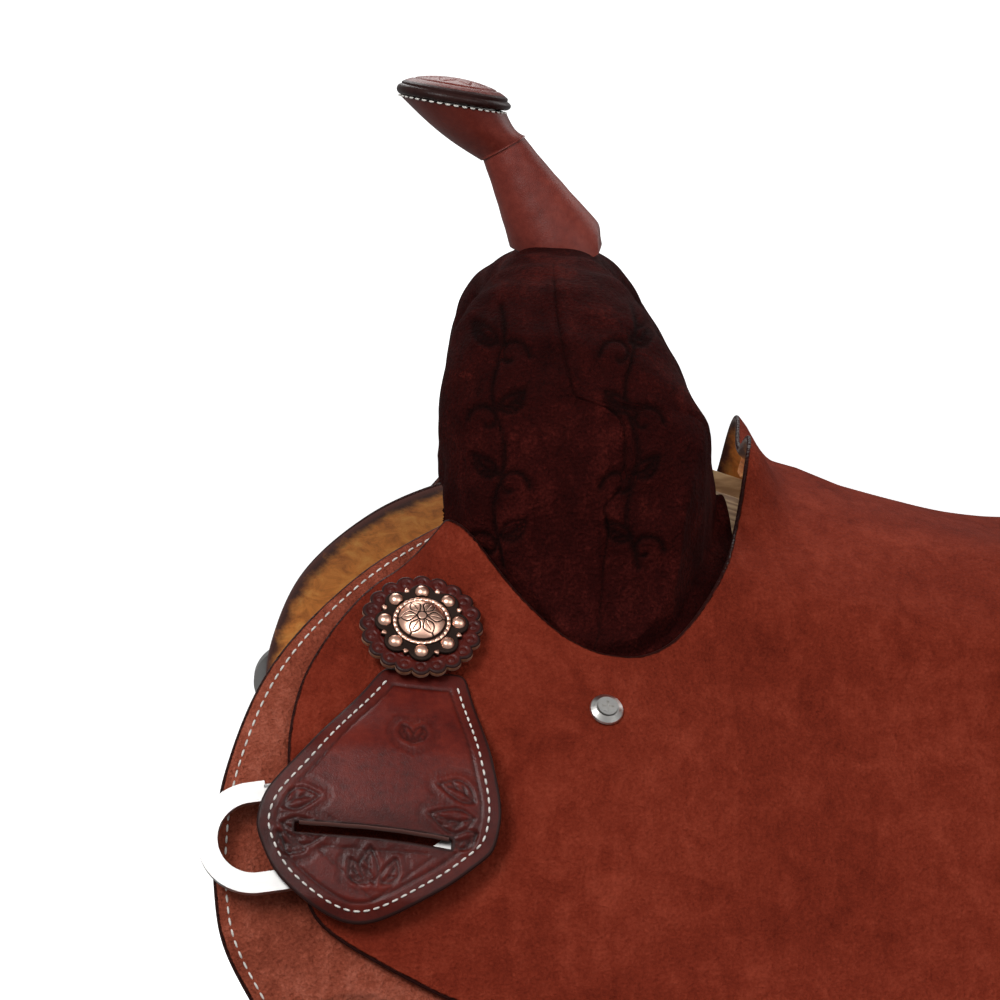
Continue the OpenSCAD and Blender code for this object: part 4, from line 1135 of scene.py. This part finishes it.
p = disc(CapFrame(), lambda a: np.full(len(a), CAP_R - 2.2), cap_height, back=-1.0, rings=70, spokes=240)
p.make("horn_cap_dome", [BROWN], body="saddle", replaces=["horn_cap_top"], slot="smooth")
st_a = np.linspace(0, 2 * math.pi, 400)
st_p = tilted(CAP_MID, CAP_TILT, np.stack([(CAP_R - 2.2) * np.cos(st_a), (CAP_R - 2.2) * np.sin(st_a),
                                           np.full(400, -3.1)], -1))
st_n = tilted(np.zeros(3), CAP_TILT, np.stack([0.75 * np.cos(st_a), 0.75 * np.sin(st_a),
                                               np.full(400, -0.66)], -1))
stitch_line(st_p, st_n, 4.2, 2.9, 0.5, rise=0.2).make("horn_cap_stitching", [THREAD], body="saddle")


# ---------------------------------------------------------------- front rigging: cover, rosettes, conchos
COVER_LEAVES = (leaf(300, 280, 195, 17) + leaf(301, 287, 172, 22, -1) + leaf(303, 291, 150, 15, -1)
                + leaf(215, 274, -20, 17, -1) + leaf(215, 281, 0, 20, 1) + leaf(214, 287, 22, 14, 1)
                + leaf(259, 313, -85, 16) + leaf(256, 313, -120, 13, -1) + leaf(262, 313, -55, 13, 1)
                + leaf(247, 240, 120, 11, -1) + leaf(238, 240, 60, 11, 1))
COVER_LINES = [[[284, 298], [262, 318], [259, 320], [256, 318], [233, 300]],
               [[282, 297], [258, 299], [235, 299]]]
cover_loop = closed((COVER_NECK, False), (COVER_BACK, False), (COVER_TIP, True), (COVER_FRONT, True))
slot_a = math.radians(-4)
slot_x, slot_y = np.array([-35, 35, 35, -35]), np.array([-1.95, -1.95, 1.95, 1.95])
SLOT_X, SLOT_S = 260, 291           # middle of the cover's slot
slot_loop = np.stack([SLOT_X + slot_x * math.cos(slot_a) - slot_y * math.sin(slot_a),
                      SLOT_S + slot_x * math.sin(slot_a) + slot_y * math.cos(slot_a)], 1)
cover_soft = ccw(soften(resample(cover_loop, 2.2), 4))


def cover_surf(x, s, h):
    return skin(x, s, cover_h(x, s) + h)


def cover_tooling(q, rim):
    """A border groove, leaves on a pressed ground and a few plain lines."""
    d = distance(q, cover_soft)
    leaves, lines = near_curves(q, COVER_LEAVES), near_curves(q, COVER_LINES)
    ground = (leaves < 6) & (leaves > 1.3) & (d > 10)
    seeds = 0.22 + 0.12 * np.sin(q[:, 0] * 3.3) * np.sin(q[:, 1] * 3.3)
    return (0.75 * bell(d - 9.2, 0.55) + 0.85 * bell(leaves, 0.75) + 0.5 * bell(lines, 0.5) + ground * seeds
            - 0.35 * bell(leaves - 1.8, 0.8))


for where, mirror in SIDES:
    p, loop = leather_piece(cover_loop, cover_surf, 3, 1.0 * FINE, 2.2, 1.2, holes=[slot_loop],
                            carve=cover_tooling)
    p.make("ring_cover_" + where, [OXBLOOD, STRAP, TAN_EDGE], mirror, body="cover_" + where,
           replaces=["dee_cover_" + where], slot="oxblood")
    st = stitched(loop, 5.4, cover_surf, 2.95, pitch=4.5, length=3.3, r=0.5, keep=lambda x, s: s > 214)
    st.make("ring_cover_stitching_" + where, [THREAD], mirror, body="cover_" + where)
    # the golden raw lip of the slot
    lip_x = np.linspace(-34, 33, 60)
    lip = []
    for k in np.linspace(0, 1, 7):
        lx = SLOT_X + lip_x * math.cos(slot_a)
        ls = SLOT_S + lip_x * math.sin(slot_a) - 2.1 + 0.5 * np.sin(k * math.pi) * 2
        lip.append(skin(lx, ls, cover_h(lx, ls) + 3.3 - 2.6 * k + 0.25 * np.sin(lip_x * 0.4)))
    lip = np.array(lip)
    v, f = slab(lip, lip + np.array([0, -0.15, 0.5]), 7, 60)
    v2 = v * ([1, -1, 1] if mirror else [1, 1, 1])
    f2 = [face[::-1] for face in f] if mirror else f
    put("ring_cover_slot_lip_" + where, v2, f2, TAN_EDGE, attrs={"rim": np.full(len(v), 9.0)},
        body="cover_" + where)


def rosette_outline(radius, count=20, lobe=4.5):
    c = radius - lobe

    def outline_r(a):
        phi = (a + math.pi / count) % (2 * math.pi / count) - math.pi / count
        return c * np.cos(phi) + np.sqrt(np.maximum(lobe ** 2 - (c * np.sin(phi)) ** 2, 0.5))
    return outline_r


def rosette_height(radius, t=3.0, count=20):
    def height(r, a):
        phi = (a + math.pi / count) % (2 * math.pi / count) - math.pi / count
        z = np.full(r.shape, t)
        for at_r, size in ((radius - 4.7, 1.9), (radius - 10.4, 1.6)):
            d = np.hypot(r * np.cos(phi) - at_r, r * np.sin(phi))
            z = z - 0.55 * bell(d - size, 0.55) + 0.15 * bell(d, 0.9)
        z = z - 0.3 * bell(r - (radius - 7.8), 0.4)
        edge = rosette_outline(radius, count)(a) - r
        return z - 0.9 * np.clip(1 - edge / 0.9, 0, 1) ** 2
    return height


def concho_outline(radius):
    def outline_r(a):
        phi = (a + math.pi / 8) % (math.pi / 4) - math.pi / 8
        c, lobe = 0.72 * radius, 0.28 * radius
        inside_root = lobe ** 2 - (c * np.sin(phi)) ** 2
        berry = np.where(inside_root > 0, c * np.cos(phi) + np.sqrt(np.maximum(inside_root, 0)), 0)
        tip = radius * (0.90 + 0.08 * np.exp(-((np.abs(phi) - math.pi / 8) / 0.05) ** 2))
        return np.maximum(berry * 0.985, np.minimum(tip, radius) * 0.94)
    return outline_r


def concho_height(radius):
    def height(r, a):
        u = r / radius
        phi = (a + math.pi / 8) % (math.pi / 4) - math.pi / 8
        z = 1.3 + 0.25 * np.sin(u * 9)
        d = np.hypot(r * np.cos(phi) - 0.77 * radius, r * np.sin(phi)) / (0.155 * radius)
        z = np.maximum(z, 1.2 + 0.125 * radius * np.sqrt(np.maximum(0, 1 - d ** 2)))
        gap = (a % (math.pi / 4)) - math.pi / 8
        d2 = np.hypot(r * np.cos(gap) - 0.86 * radius, r * np.sin(gap)) / (0.075 * radius)
        z = np.maximum(z, 1.2 + 0.06 * radius * np.sqrt(np.maximum(0, 1 - d2 ** 2)))
        rope = 1.5 + 0.055 * radius * np.sqrt(np.maximum(0, 1 - ((u - 0.565) / 0.055) ** 2)) * (0.72 + 0.28
                * np.abs(np.sin(14 * a + 9 * u)))
        z = np.maximum(z, np.where(np.abs(u - 0.565) < 0.055, rope, 0))
        dome = 1.5 + 0.235 * radius * np.sqrt(np.maximum(0, 1 - (u / 0.53) ** 2)) ** 1.2
        z = np.where(u < 0.51, np.maximum(z, dome - engraving(r, a, radius)), z)
        edge = concho_outline(radius)(a) - r
        return z - 0.5 * np.clip(1 - edge / 0.7, 0, 1) ** 2
    return height


def engraving(r, a, radius):
    """A plain flower with six petals, cut into the dome."""
    u = r / (0.5 * radius)
    phi = (a + math.pi / 6) % (math.pi / 3) - math.pi / 6
    petal = np.abs(np.abs(phi) - 0.42 * np.sin(np.clip((u - 0.18) / 0.7, 0, 1) * math.pi)) * u
    vein = np.abs(phi) * u
    cuts = 0.22 * bell(petal, 0.035) * (u > 0.2) + 0.14 * bell(vein, 0.025) * (u > 0.3) * (u < 0.75)
    return cuts + 0.2 * bell(u - 0.2, 0.035)


def concho_low(radius):
    height = concho_height(radius)

    def low(r, a):
        z = height(r, a)
        u = r / radius
        rim_low = np.clip((2.3 - z) / 1.0, 0, 1)
        cut = np.clip(engraving(r, a, radius) * 4.5, 0, 1) * (u < 0.5)
        trench = bell(u - 0.505, 0.02) + bell(u - 0.63, 0.02)
        return np.clip(np.where(u > 0.52, rim_low, 0) + cut + trench, 0, 1)
    return low


FRONT_ROSE, REAR_ROSE = (239.5, 187, 11.9), (-222, 222, 9.4)
for kind, at, r_leather, r_metal, h_metal in (("front", FRONT_ROSE, 28.8, 22.2, 15.3),
                                              ("rear", REAR_ROSE, 24.0, 18.0, 12.8)):
    rose, metal_piece = Piece(), Piece()
    for q in (1, -1):
        p = disc(Frame(*at), rosette_outline(r_leather), rosette_height(r_leather), rings=int(60 / FINE),
                 spokes=int(480 / FINE), side_mat=1)
        m = disc(Frame(at[0], at[1], h_metal), concho_outline(r_metal), concho_height(r_metal),
                 rings=int(110 / FINE),
                 spokes=int(480 / FINE), low=concho_low(r_metal))
        for target, source in ((rose, p), (metal_piece, m)):
            verts = np.concatenate(source.v) * [1, q, 1]
            faces = source.f if q == 1 else [face[::-1] for face in source.f]
            target.add(verts, faces, source.m, **{k: np.concatenate(x) for k, x in source.a.items()})
    rose.make(kind + "_rosette_leather", [OXBLOOD, TAN_EDGE], body="saddle", replaces=[kind + "_rosettes"],
              slot="oxblood")
    metal_piece.make(kind + "_concho_metal", [COPPER], body="saddle",
                     replaces=["conchos"] if kind == "front" else [], slot="copper")

# ---------------------------------------------------------------- cantle and rear jockeys
CANTLE_T, ROLL_W, ROLL_END, ROLL_IN, ROLL_DROP = 20, 15, 153.6, 0.4, 2
ROLL_POINTS, BACK_N = 28, (110, 26)


def rim(s):
    return seat_point(RIM_X, np.abs(s), 0)


def cantle_rear(s, v, back):
    a = np.abs(s)
    x = rim(a)[..., 0] - CANTLE_T - back
    base = skin(x, a, mix(12, BAR_T, ease((a - 20) / 28)) + 2 + back)
    high = rim(a) - np.array([CANTLE_T + 0.0, 0, 13]) - np.stack([back + 0 * a, 0 * a, 0 * a], -1)
    return flip(base * (1 - v[..., None]) + high * v[..., None], s)


cs, cv = np.meshgrid(np.linspace(-147, 147, BACK_N[0]), np.linspace(0, 1, BACK_N[1]), indexing="ij")
edge = np.minimum(1, np.minimum(np.minimum(cv, 1 - cv) * 60, 148 - np.abs(cs)) / 2.5)
v, f = slab(cantle_rear(cs, cv, 1.6 + 2.8 * np.sqrt(np.clip(edge, 0, 1))),
            cantle_rear(cs, cv, np.full(cs.shape, 1.0)), *BACK_N)
cantle_rim = np.tile(np.minimum(cv, 1 - cv).ravel() * 60, 2)
put("cantle_back_leather", v, f, SEAT, attrs={"rim": cantle_rim}, body="saddle", replaces=["cantle_back"],
    slot="roughout")

roll_rings, roll_s = [], np.linspace(-ROLL_END, ROLL_END, 200)
ra = np.arange(ROLL_POINTS) * 2 * math.pi / ROLL_POINTS
for s in roll_s:
    c = rim(np.float64(abs(s)))
    k = 1 - 0.55 * (abs(s) / ROLL_END) ** 6
    lace = 1 + 0.02 * math.sin(s * 1.1)
    w = ROLL_W * k * np.sign(np.cos(ra)) * np.abs(np.cos(ra)) ** 0.9
    z = 7 * k * lace * np.sin(ra)
    ring_q = np.stack([c[0] - ROLL_W - ROLL_IN + w, np.full(ROLL_POINTS, c[1]), c[2] - ROLL_DROP + z], -1)
    roll_rings.append(flip(ring_q, np.full(ROLL_POINTS, s)))
v, f = loft(roll_rings)
put("cantle_roll_leather", v, f, BROWN, attrs={"rim": np.full(len(v), 12.0)}, body="saddle",
    replaces=["cantle_roll"], slot="smooth")
for name, off in (("front", 0.62), ("rear", -0.62)):
    line = np.array([flip(rim(np.float64(abs(s))) + [-ROLL_W - 0.4 + ROLL_W * off, 0, -2 + 5.6],
                          np.float64(s)) for s in roll_s[8:-8]])
    up = np.tile([0.3 * off, 0, 1.0], (len(line), 1))
    stitch_line(line, up, 5.0, 3.7, 0.5, rise=0.1).make("cantle_roll_stitching_" + name, [THREAD],
                                                        body="saddle")


def rear_surf(x, s, h):
    return skin(x, s, rear_jockey_h(x, s) + h)


for where, mirror in SIDES:
    p, loop = leather_piece(closed((JOCKEY_FRONT, False), (JOCKEY_REAR, True)), rear_surf, 4, 4.0 * FINE,
                            2.4, 1.7)
    p.make("rear_jockey_leather_" + where, [SEAT, NATURAL], mirror, body="saddle",
           replaces=["rear_jockey_" + where], slot="roughout")

# ---------------------------------------------------------------- gullet lining
def liner_point(t, v, drop):
    a = np.abs(t) * 0.44
    p = along(FORK_PATH, a)
    x = mix(p[..., 3] + 6, p[..., 2] - 6, v)
    q, b = gullet_point(a, x), gullet_point(a + 0.02, x)
    d = unit(vec(0, b[..., 1] - q[..., 1], b[..., 2] - q[..., 2]))
    return flip(vec(x, np.maximum(0, q[..., 1] + d[..., 2] * drop), q[..., 2] - d[..., 1] * drop), t)


lt, lv = np.meshgrid(np.linspace(-1, 1, LINER_N[0]), np.linspace(0, 1, LINER_N[1]), indexing="ij")
v, f = slab(liner_point(lt, lv, BED), liner_point(lt, lv, BED + LINER_T), *LINER_N)
liner_rim = np.tile(np.minimum(np.minimum(lv, 1 - lv) * 44, (1 - np.abs(lt)) * 120).ravel() + 1.5, 2)
put("gullet_lining", v, f, NATURAL, attrs={"rim": liner_rim}, body="saddle", replaces=["gullet_liner"],
    slot="strap")


# ---------------------------------------------------------------- straps
def sweep(points, across, width, t, edge=5):
    """A strap along points in space: across is the direction of its width, t its thickness."""
    points = np.asarray(points, float)
    go = unit(np.gradient(points, axis=0))
    across = unit(np.asarray(across, float))
    out = unit(np.cross(np.broadcast_to(across, go.shape), go))
    r = t * 0.45
    section = []
    for cx, cz, start in ((width / 2 - r, t / 2 - r, 0), (-width / 2 + r, t / 2 - r, 90),
                          (-width / 2 + r, -t / 2 + r, 180), (width / 2 - r, -t / 2 + r, 270)):
        for a in np.radians(start + np.linspace(0, 90, edge)):
            section.append((cx + r * math.cos(a), cz + r * math.sin(a)))
    section = np.array(section)
    rings = [q + section[:, :1] * across + section[:, 1:] * o for q, o in zip(points, out)]
    rim_q = np.minimum(width / 2 - np.abs(section[:, 0]), 99)
    return np.array(rings), np.tile(rim_q, len(rings))


def smooth_path(points, step=1.5):
    p = np.asarray(points, float)
    q = along(p, np.linspace(0, 1, 30 * len(p)))
    d = np.r_[0, np.cumsum(np.linalg.norm(np.diff(q, axis=0), axis=1))]
    t = np.linspace(0, d[-1], max(4, int(d[-1] / step)))
    return np.stack([np.interp(t, d, q[:, k]) for k in range(3)], 1)


def strap(name, points, across, width, t, mat, mirror, **kw):
    rings, rim_q = sweep(points, across, width, t)
    v, f = loft(list(rings))
    if mirror:
        v = v * [1, -1, 1]
    return put(name, v, f, mat, attrs={"rim": rim_q}, **kw)


FLANK = (-220, 290, 7.2)
WIRE_R, LOOP_T = 3.2, 2.0
for where, mirror in SIDES:
    # the flank strap runs down, round the ring's wire and back under itself
    frame_q = Frame(*FLANK)
    mid_r = WIRE_R + 0.15 + LOOP_T / 2
    down = [skin(-220, s, 7.4) for s in (207, 230, 255, 272)]
    wrap = [frame_q.at(np.array([0, mid_r * math.cos(a), mid_r * math.sin(a)]))
            for a in np.radians([115, 90, 60, 30, 0, -30, -60, -90, -112])]
    strap("flank_strap_leather_" + where, smooth_path(down + wrap), frame_q.f, 37, LOOP_T, STRAP, mirror,
          body="saddle", replaces=["flank_strap_" + where], slot="strap")

# ---------------------------------------------------------------- fenders
BEND_S, HANG_Z = 362, -205
FENDER_HALF = [(180, 38), (366, 44), (374, 45)]
HALF_AT_Z = [(-205, 50), (-215, 60), (-232, 72), (-252, 84), (-275, 93), (-300, 99), (-325, 99.5), (-350, 97),
             (-372, 88), (-392, 76), (-410, 62), (-424, 50), (-436, 43), (-446, 39)]
FENDER_MID_Y = FENDER_Y + 0.2


def fender_curve(x, s):
    """Middle of the fender's underside at distance s down it: on the skirt, in a bend, then straight."""
    start = skin(x, BEND_S, 3.6)
    go = unit(skin(x, BEND_S + 1, 3.6) - skin(x, BEND_S - 1, 3.6))
    end = vec(x, FENDER_MID_Y, HANG_Z)
    span_l = np.linalg.norm(end - start, axis=-1)
    u = np.clip((s - BEND_S) / span_l, 0, 1)[..., None]
    reach = (span_l / 3)[..., None]
    a, b = start + go * reach, end - np.array([0, 0, -1.0]) * reach
    bend = (1 - u) ** 3 * start + 3 * (1 - u) ** 2 * u * a + 3 * (1 - u) * u * u * b + u ** 3 * end
    tail = end - np.array([0, 0, 1.0]) * np.maximum(0, s - BEND_S - span_l)[..., None]
    return np.where((s < BEND_S)[..., None], skin(x, np.minimum(s, BEND_S), 3.6),
                    np.where((s < BEND_S + span_l)[..., None], bend, tail))


def fender_surf(x, s, h):
    x, s, h = np.broadcast_arrays(np.asarray(x, float), np.asarray(s, float), np.asarray(h, float))
    e = 0.6
    down = unit(fender_curve(x, s + e) - fender_curve(x, s - e))
    out = unit(np.cross(np.broadcast_to([1.0, 0, 0], down.shape), down))
    out *= np.where(out[..., 1:2] < 0, -1, 1)
    return fender_curve(x, s) + out * h[..., None]


bend_len = float(np.linalg.norm(fender_curve(np.float64(SWING_X), np.float64(BEND_S))
                                - [SWING_X, FENDER_MID_Y, HANG_Z]))
half_line = FENDER_HALF + [(BEND_S + bend_len + HANG_Z - z, w) for z, w in HALF_AT_Z]
half_line = np.array(sorted(half_line))
half_s = np.linspace(180, half_line[-1, 0], 400)
half_w = np.interp(half_s, half_line[:, 0], half_line[:, 1])
for _ in range(30):
    half_w[1:-1] = (half_w[:-2] + 2 * half_w[1:-1] + half_w[2:]) / 4
fender_loop = np.concatenate([np.stack([SWING_X + half_w, half_s], 1),
                              np.stack([SWING_X - half_w, half_s], 1)[::-1]])


def fender_tooling(q, rim):
    return 0.6 * bell(rim - 10.5, 0.55) + 0.35 * bell(rim - 12.6, 0.5)


for where, mirror in SIDES:
    p, loop = leather_piece(fender_loop, fender_surf, 3.6, 3.2 * FINE, 2.4, 1.6, carve=fender_tooling)
    obj = p.make("fender_leather_" + where, [SKIRT, NATURAL], mirror,
                 replaces=["fender_" + where, "leather_top_" + where],
                 slot="roughout")
    st = stitched(loop, 6.0, fender_surf, 3.55, pitch=5.3, length=3.9, r=0.5)
    st_obj = st.make("fender_stitching_" + where, [THREAD], mirror)
    for q in (obj, st_obj):
        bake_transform(q)


# ---------------------------------------------------------------- stirrups
def rounded(half_a, half_b, r, corner=6):
    """A rounded rectangle as [a, b] points, anticlockwise."""
    out = []
    for ca, cb, start in ((1, 1, 0), (-1, 1, 90), (-1, -1, 180), (1, -1, 270)):
        for q in np.radians(start + np.linspace(0, 90, corner)):
            out.append((ca * (half_a - r) + r * math.cos(q), cb * (half_b - r) + r * math.sin(q)))
    return np.array(out)


HUB = np.array([SWING_X, STRAP_Y, BOLT_Z], float)
ARM_OUT = [[43, 12], [44, -14], [55, -40], [67, -75], [72, -108], [70, -134], [52, -149], [0, -149]]
ARM_IN = [[33, 12], [33, -14], [43, -40], [56, -72], [61, -102], [59, -124], [46, -135], [0, -135]]
TWIST_TOP, TWIST_END = -440, -472

for where, mirror in SIDES:
    y_sign = -1 if mirror else 1
    rings, half = [], 110
    rims = []
    for i in range(-half, half + 1):
        u = 1 - abs(i) / half
        a, b = along(ARM_OUT, u), along(ARM_IN, u)
        mid, wide = (a + b) / 2, np.linalg.norm(a - b) / 2
        go = unit(a - b)
        depth = np.interp(-mid[1], [-14, 104], [16, 26])
        section = rounded(wide, depth, min(3.2, wide * 0.6))
        side_x = 1 if i < 0 else -1
        at = mid[None] + section[:, :1] * go[None]
        rings.append(HUB + np.stack([side_x * at[:, 0], section[:, 1], at[:, 1]], -1))
        rims.append(depth - np.abs(section[:, 1]) + 1.2 * (1 - np.abs(section[:, 0]) / wide) * 6)
    v, f = loft(rings)
    v = v * [1, y_sign, 1]
    put("stirrup_leather_cover_" + where, v, f, OXBLOOD, attrs={"rim": np.concatenate(rims)},
        body="stirrup_" + where,
        replaces=["stirrup_frame_" + where], slot="oxblood")
    stitches = Piece()
    for edge_side in (-1, 1):
        line, up = [], []
        for i in range(-half + 6, half - 5):
            u = 1 - abs(i) / half
            a, b = along(ARM_OUT, u), along(ARM_IN, u)
            depth = np.interp(-(a[1] + b[1]) / 2, [-14, 104], [16, 26])
            go = unit(a - b)
            side_x = 1 if i < 0 else -1
            line.append(HUB + [side_x * a[0], edge_side * (depth - 5.2), a[1]])
            up.append([side_x * go[0], 0, go[1]])
        q = stitch_line(np.array(line), np.array(up), 5.0, 3.6, 0.5, rise=0.0)
        stitches.add(np.concatenate(q.v) * [1, y_sign, 1], q.f, 0)
    stitches.make("stirrup_stitching_" + where, [THREAD], body="stirrup_" + where)

    # the tread pad, with rows of pressed ribs
    def tread_surf(x, s, h):
        return HUB + vec(x, s, -134.6 + h)

    def ribs(q, rim):
        return 0.9 * (rim > 4) * np.clip(np.sin(q[:, 0] * 2 * math.pi / 7), 0, 1) ** 2

    box = rounded(39.4, 25.6, 4)
    p, loop = leather_piece(box, tread_surf, 4, 1.4 * FINE, 1.6, 1.4, smooth=1, under_mat=0, carve=ribs)
    p.make("stirrup_tread_pad_" + where, [RIM_EDGE], mirror, body="stirrup_" + where,
           replaces=["stirrup_tread_" + where], slot="edge")

    # the wrap that turns from the leathers to the hobble strap
    wrap_z = np.linspace(TWIST_TOP, TWIST_END, 60)
    rings = []
    for k, z in enumerate(wrap_z):
        swell_k = 1 + 0.02 * math.sin(k * 0.5)
        section = rounded(31.2 * swell_k, 5.0 * swell_k, 3.4)
        rings.append(np.stack([SWING_X + section[:, 0], STRAP_Y * np.ones(len(section)) + section[:, 1],
                               np.full(len(section), z)], -1))
    v, f = loft(rings)
    wrap_rim = np.repeat(np.minimum(wrap_z - TWIST_END, TWIST_TOP - wrap_z) + 0.8, len(rings[0]))
    obj = put("leather_twist_wrap_" + where, v * [1, y_sign, 1], f, STRAP, attrs={"rim": wrap_rim},
              slot="strap")
    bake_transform(obj)

    # the hobble strap: a belt round the loop
    belt = rounded(32.0, 10.0, 6, 12)
    belt = soften(resample(belt, 1.2), 3)
    n_b = len(belt)
    go = unit(np.roll(belt, -1, 0) - np.roll(belt, 1, 0))
    out2 = np.stack([go[:, 1], -go[:, 0]], 1)
    section = rounded(1.45, 9.8, 1.2, 5)
    rings = []
    for q, o in zip(belt, out2):
        rings.append(HUB + np.stack([q[0] + o[0] * section[:, 0], q[1] + o[1] * section[:, 0],
                                     36 + section[:, 1]], -1))
    m = len(section)
    v = np.concatenate(rings)
    f = [[i * m + j, i * m + (j + 1) % m, ((i + 1) % n_b) * m + (j + 1) % m, ((i + 1) % n_b) * m + j]
         for i in range(n_b) for j in range(m)]
    belt_rim = np.tile(9.8 - np.abs(section[:, 1]) + 0.8, n_b)
    put("hobble_strap_leather_" + where, v * [1, y_sign, 1], f, STRAP, attrs={"rim": belt_rim},
        body="hanger_" + where, replaces=["hobble_strap_" + where], slot="strap")


# ---------------------------------------------------------------- finishes on the carried-over CAD pieces
def dress(mat, edge, *names):
    for name in names:
        obj = frame["nodes"][name]
        for one in obj.material_slots:
            one.material = mat
        if edge:
            m = obj.modifiers.new("edge", "BEVEL")
            m.width, m.segments, m.limit_method, m.angle_limit = edge * MM, 3, "ANGLE", math.radians(35)
            m.harden_normals = True


def both(*names):
    return [n + q for n in names for q in ("_left", "_right")]


dress(SEAT_PLAIN, 1.2, "tree_cantle")
dress(NATURAL_PLAIN, 0, "ground_seat")
dress(STRAP_PLAIN, 0.6, "skirt_lace", *both("rigging_strap", "stirrup_leather", "leather_loop"))
dress(STEEL, 1.1, "rigging_dee_left", "rigging_dee_right")
dress(STEEL, 0, "flank_dee_left", "flank_dee_right")
dress(NICKEL, 0.4, "horn_core", "seat_screws", "seat_washers",
      *both("blevins_plate", "blevins_sleeve", "hobble_buckle", "stirrup_bolt"))
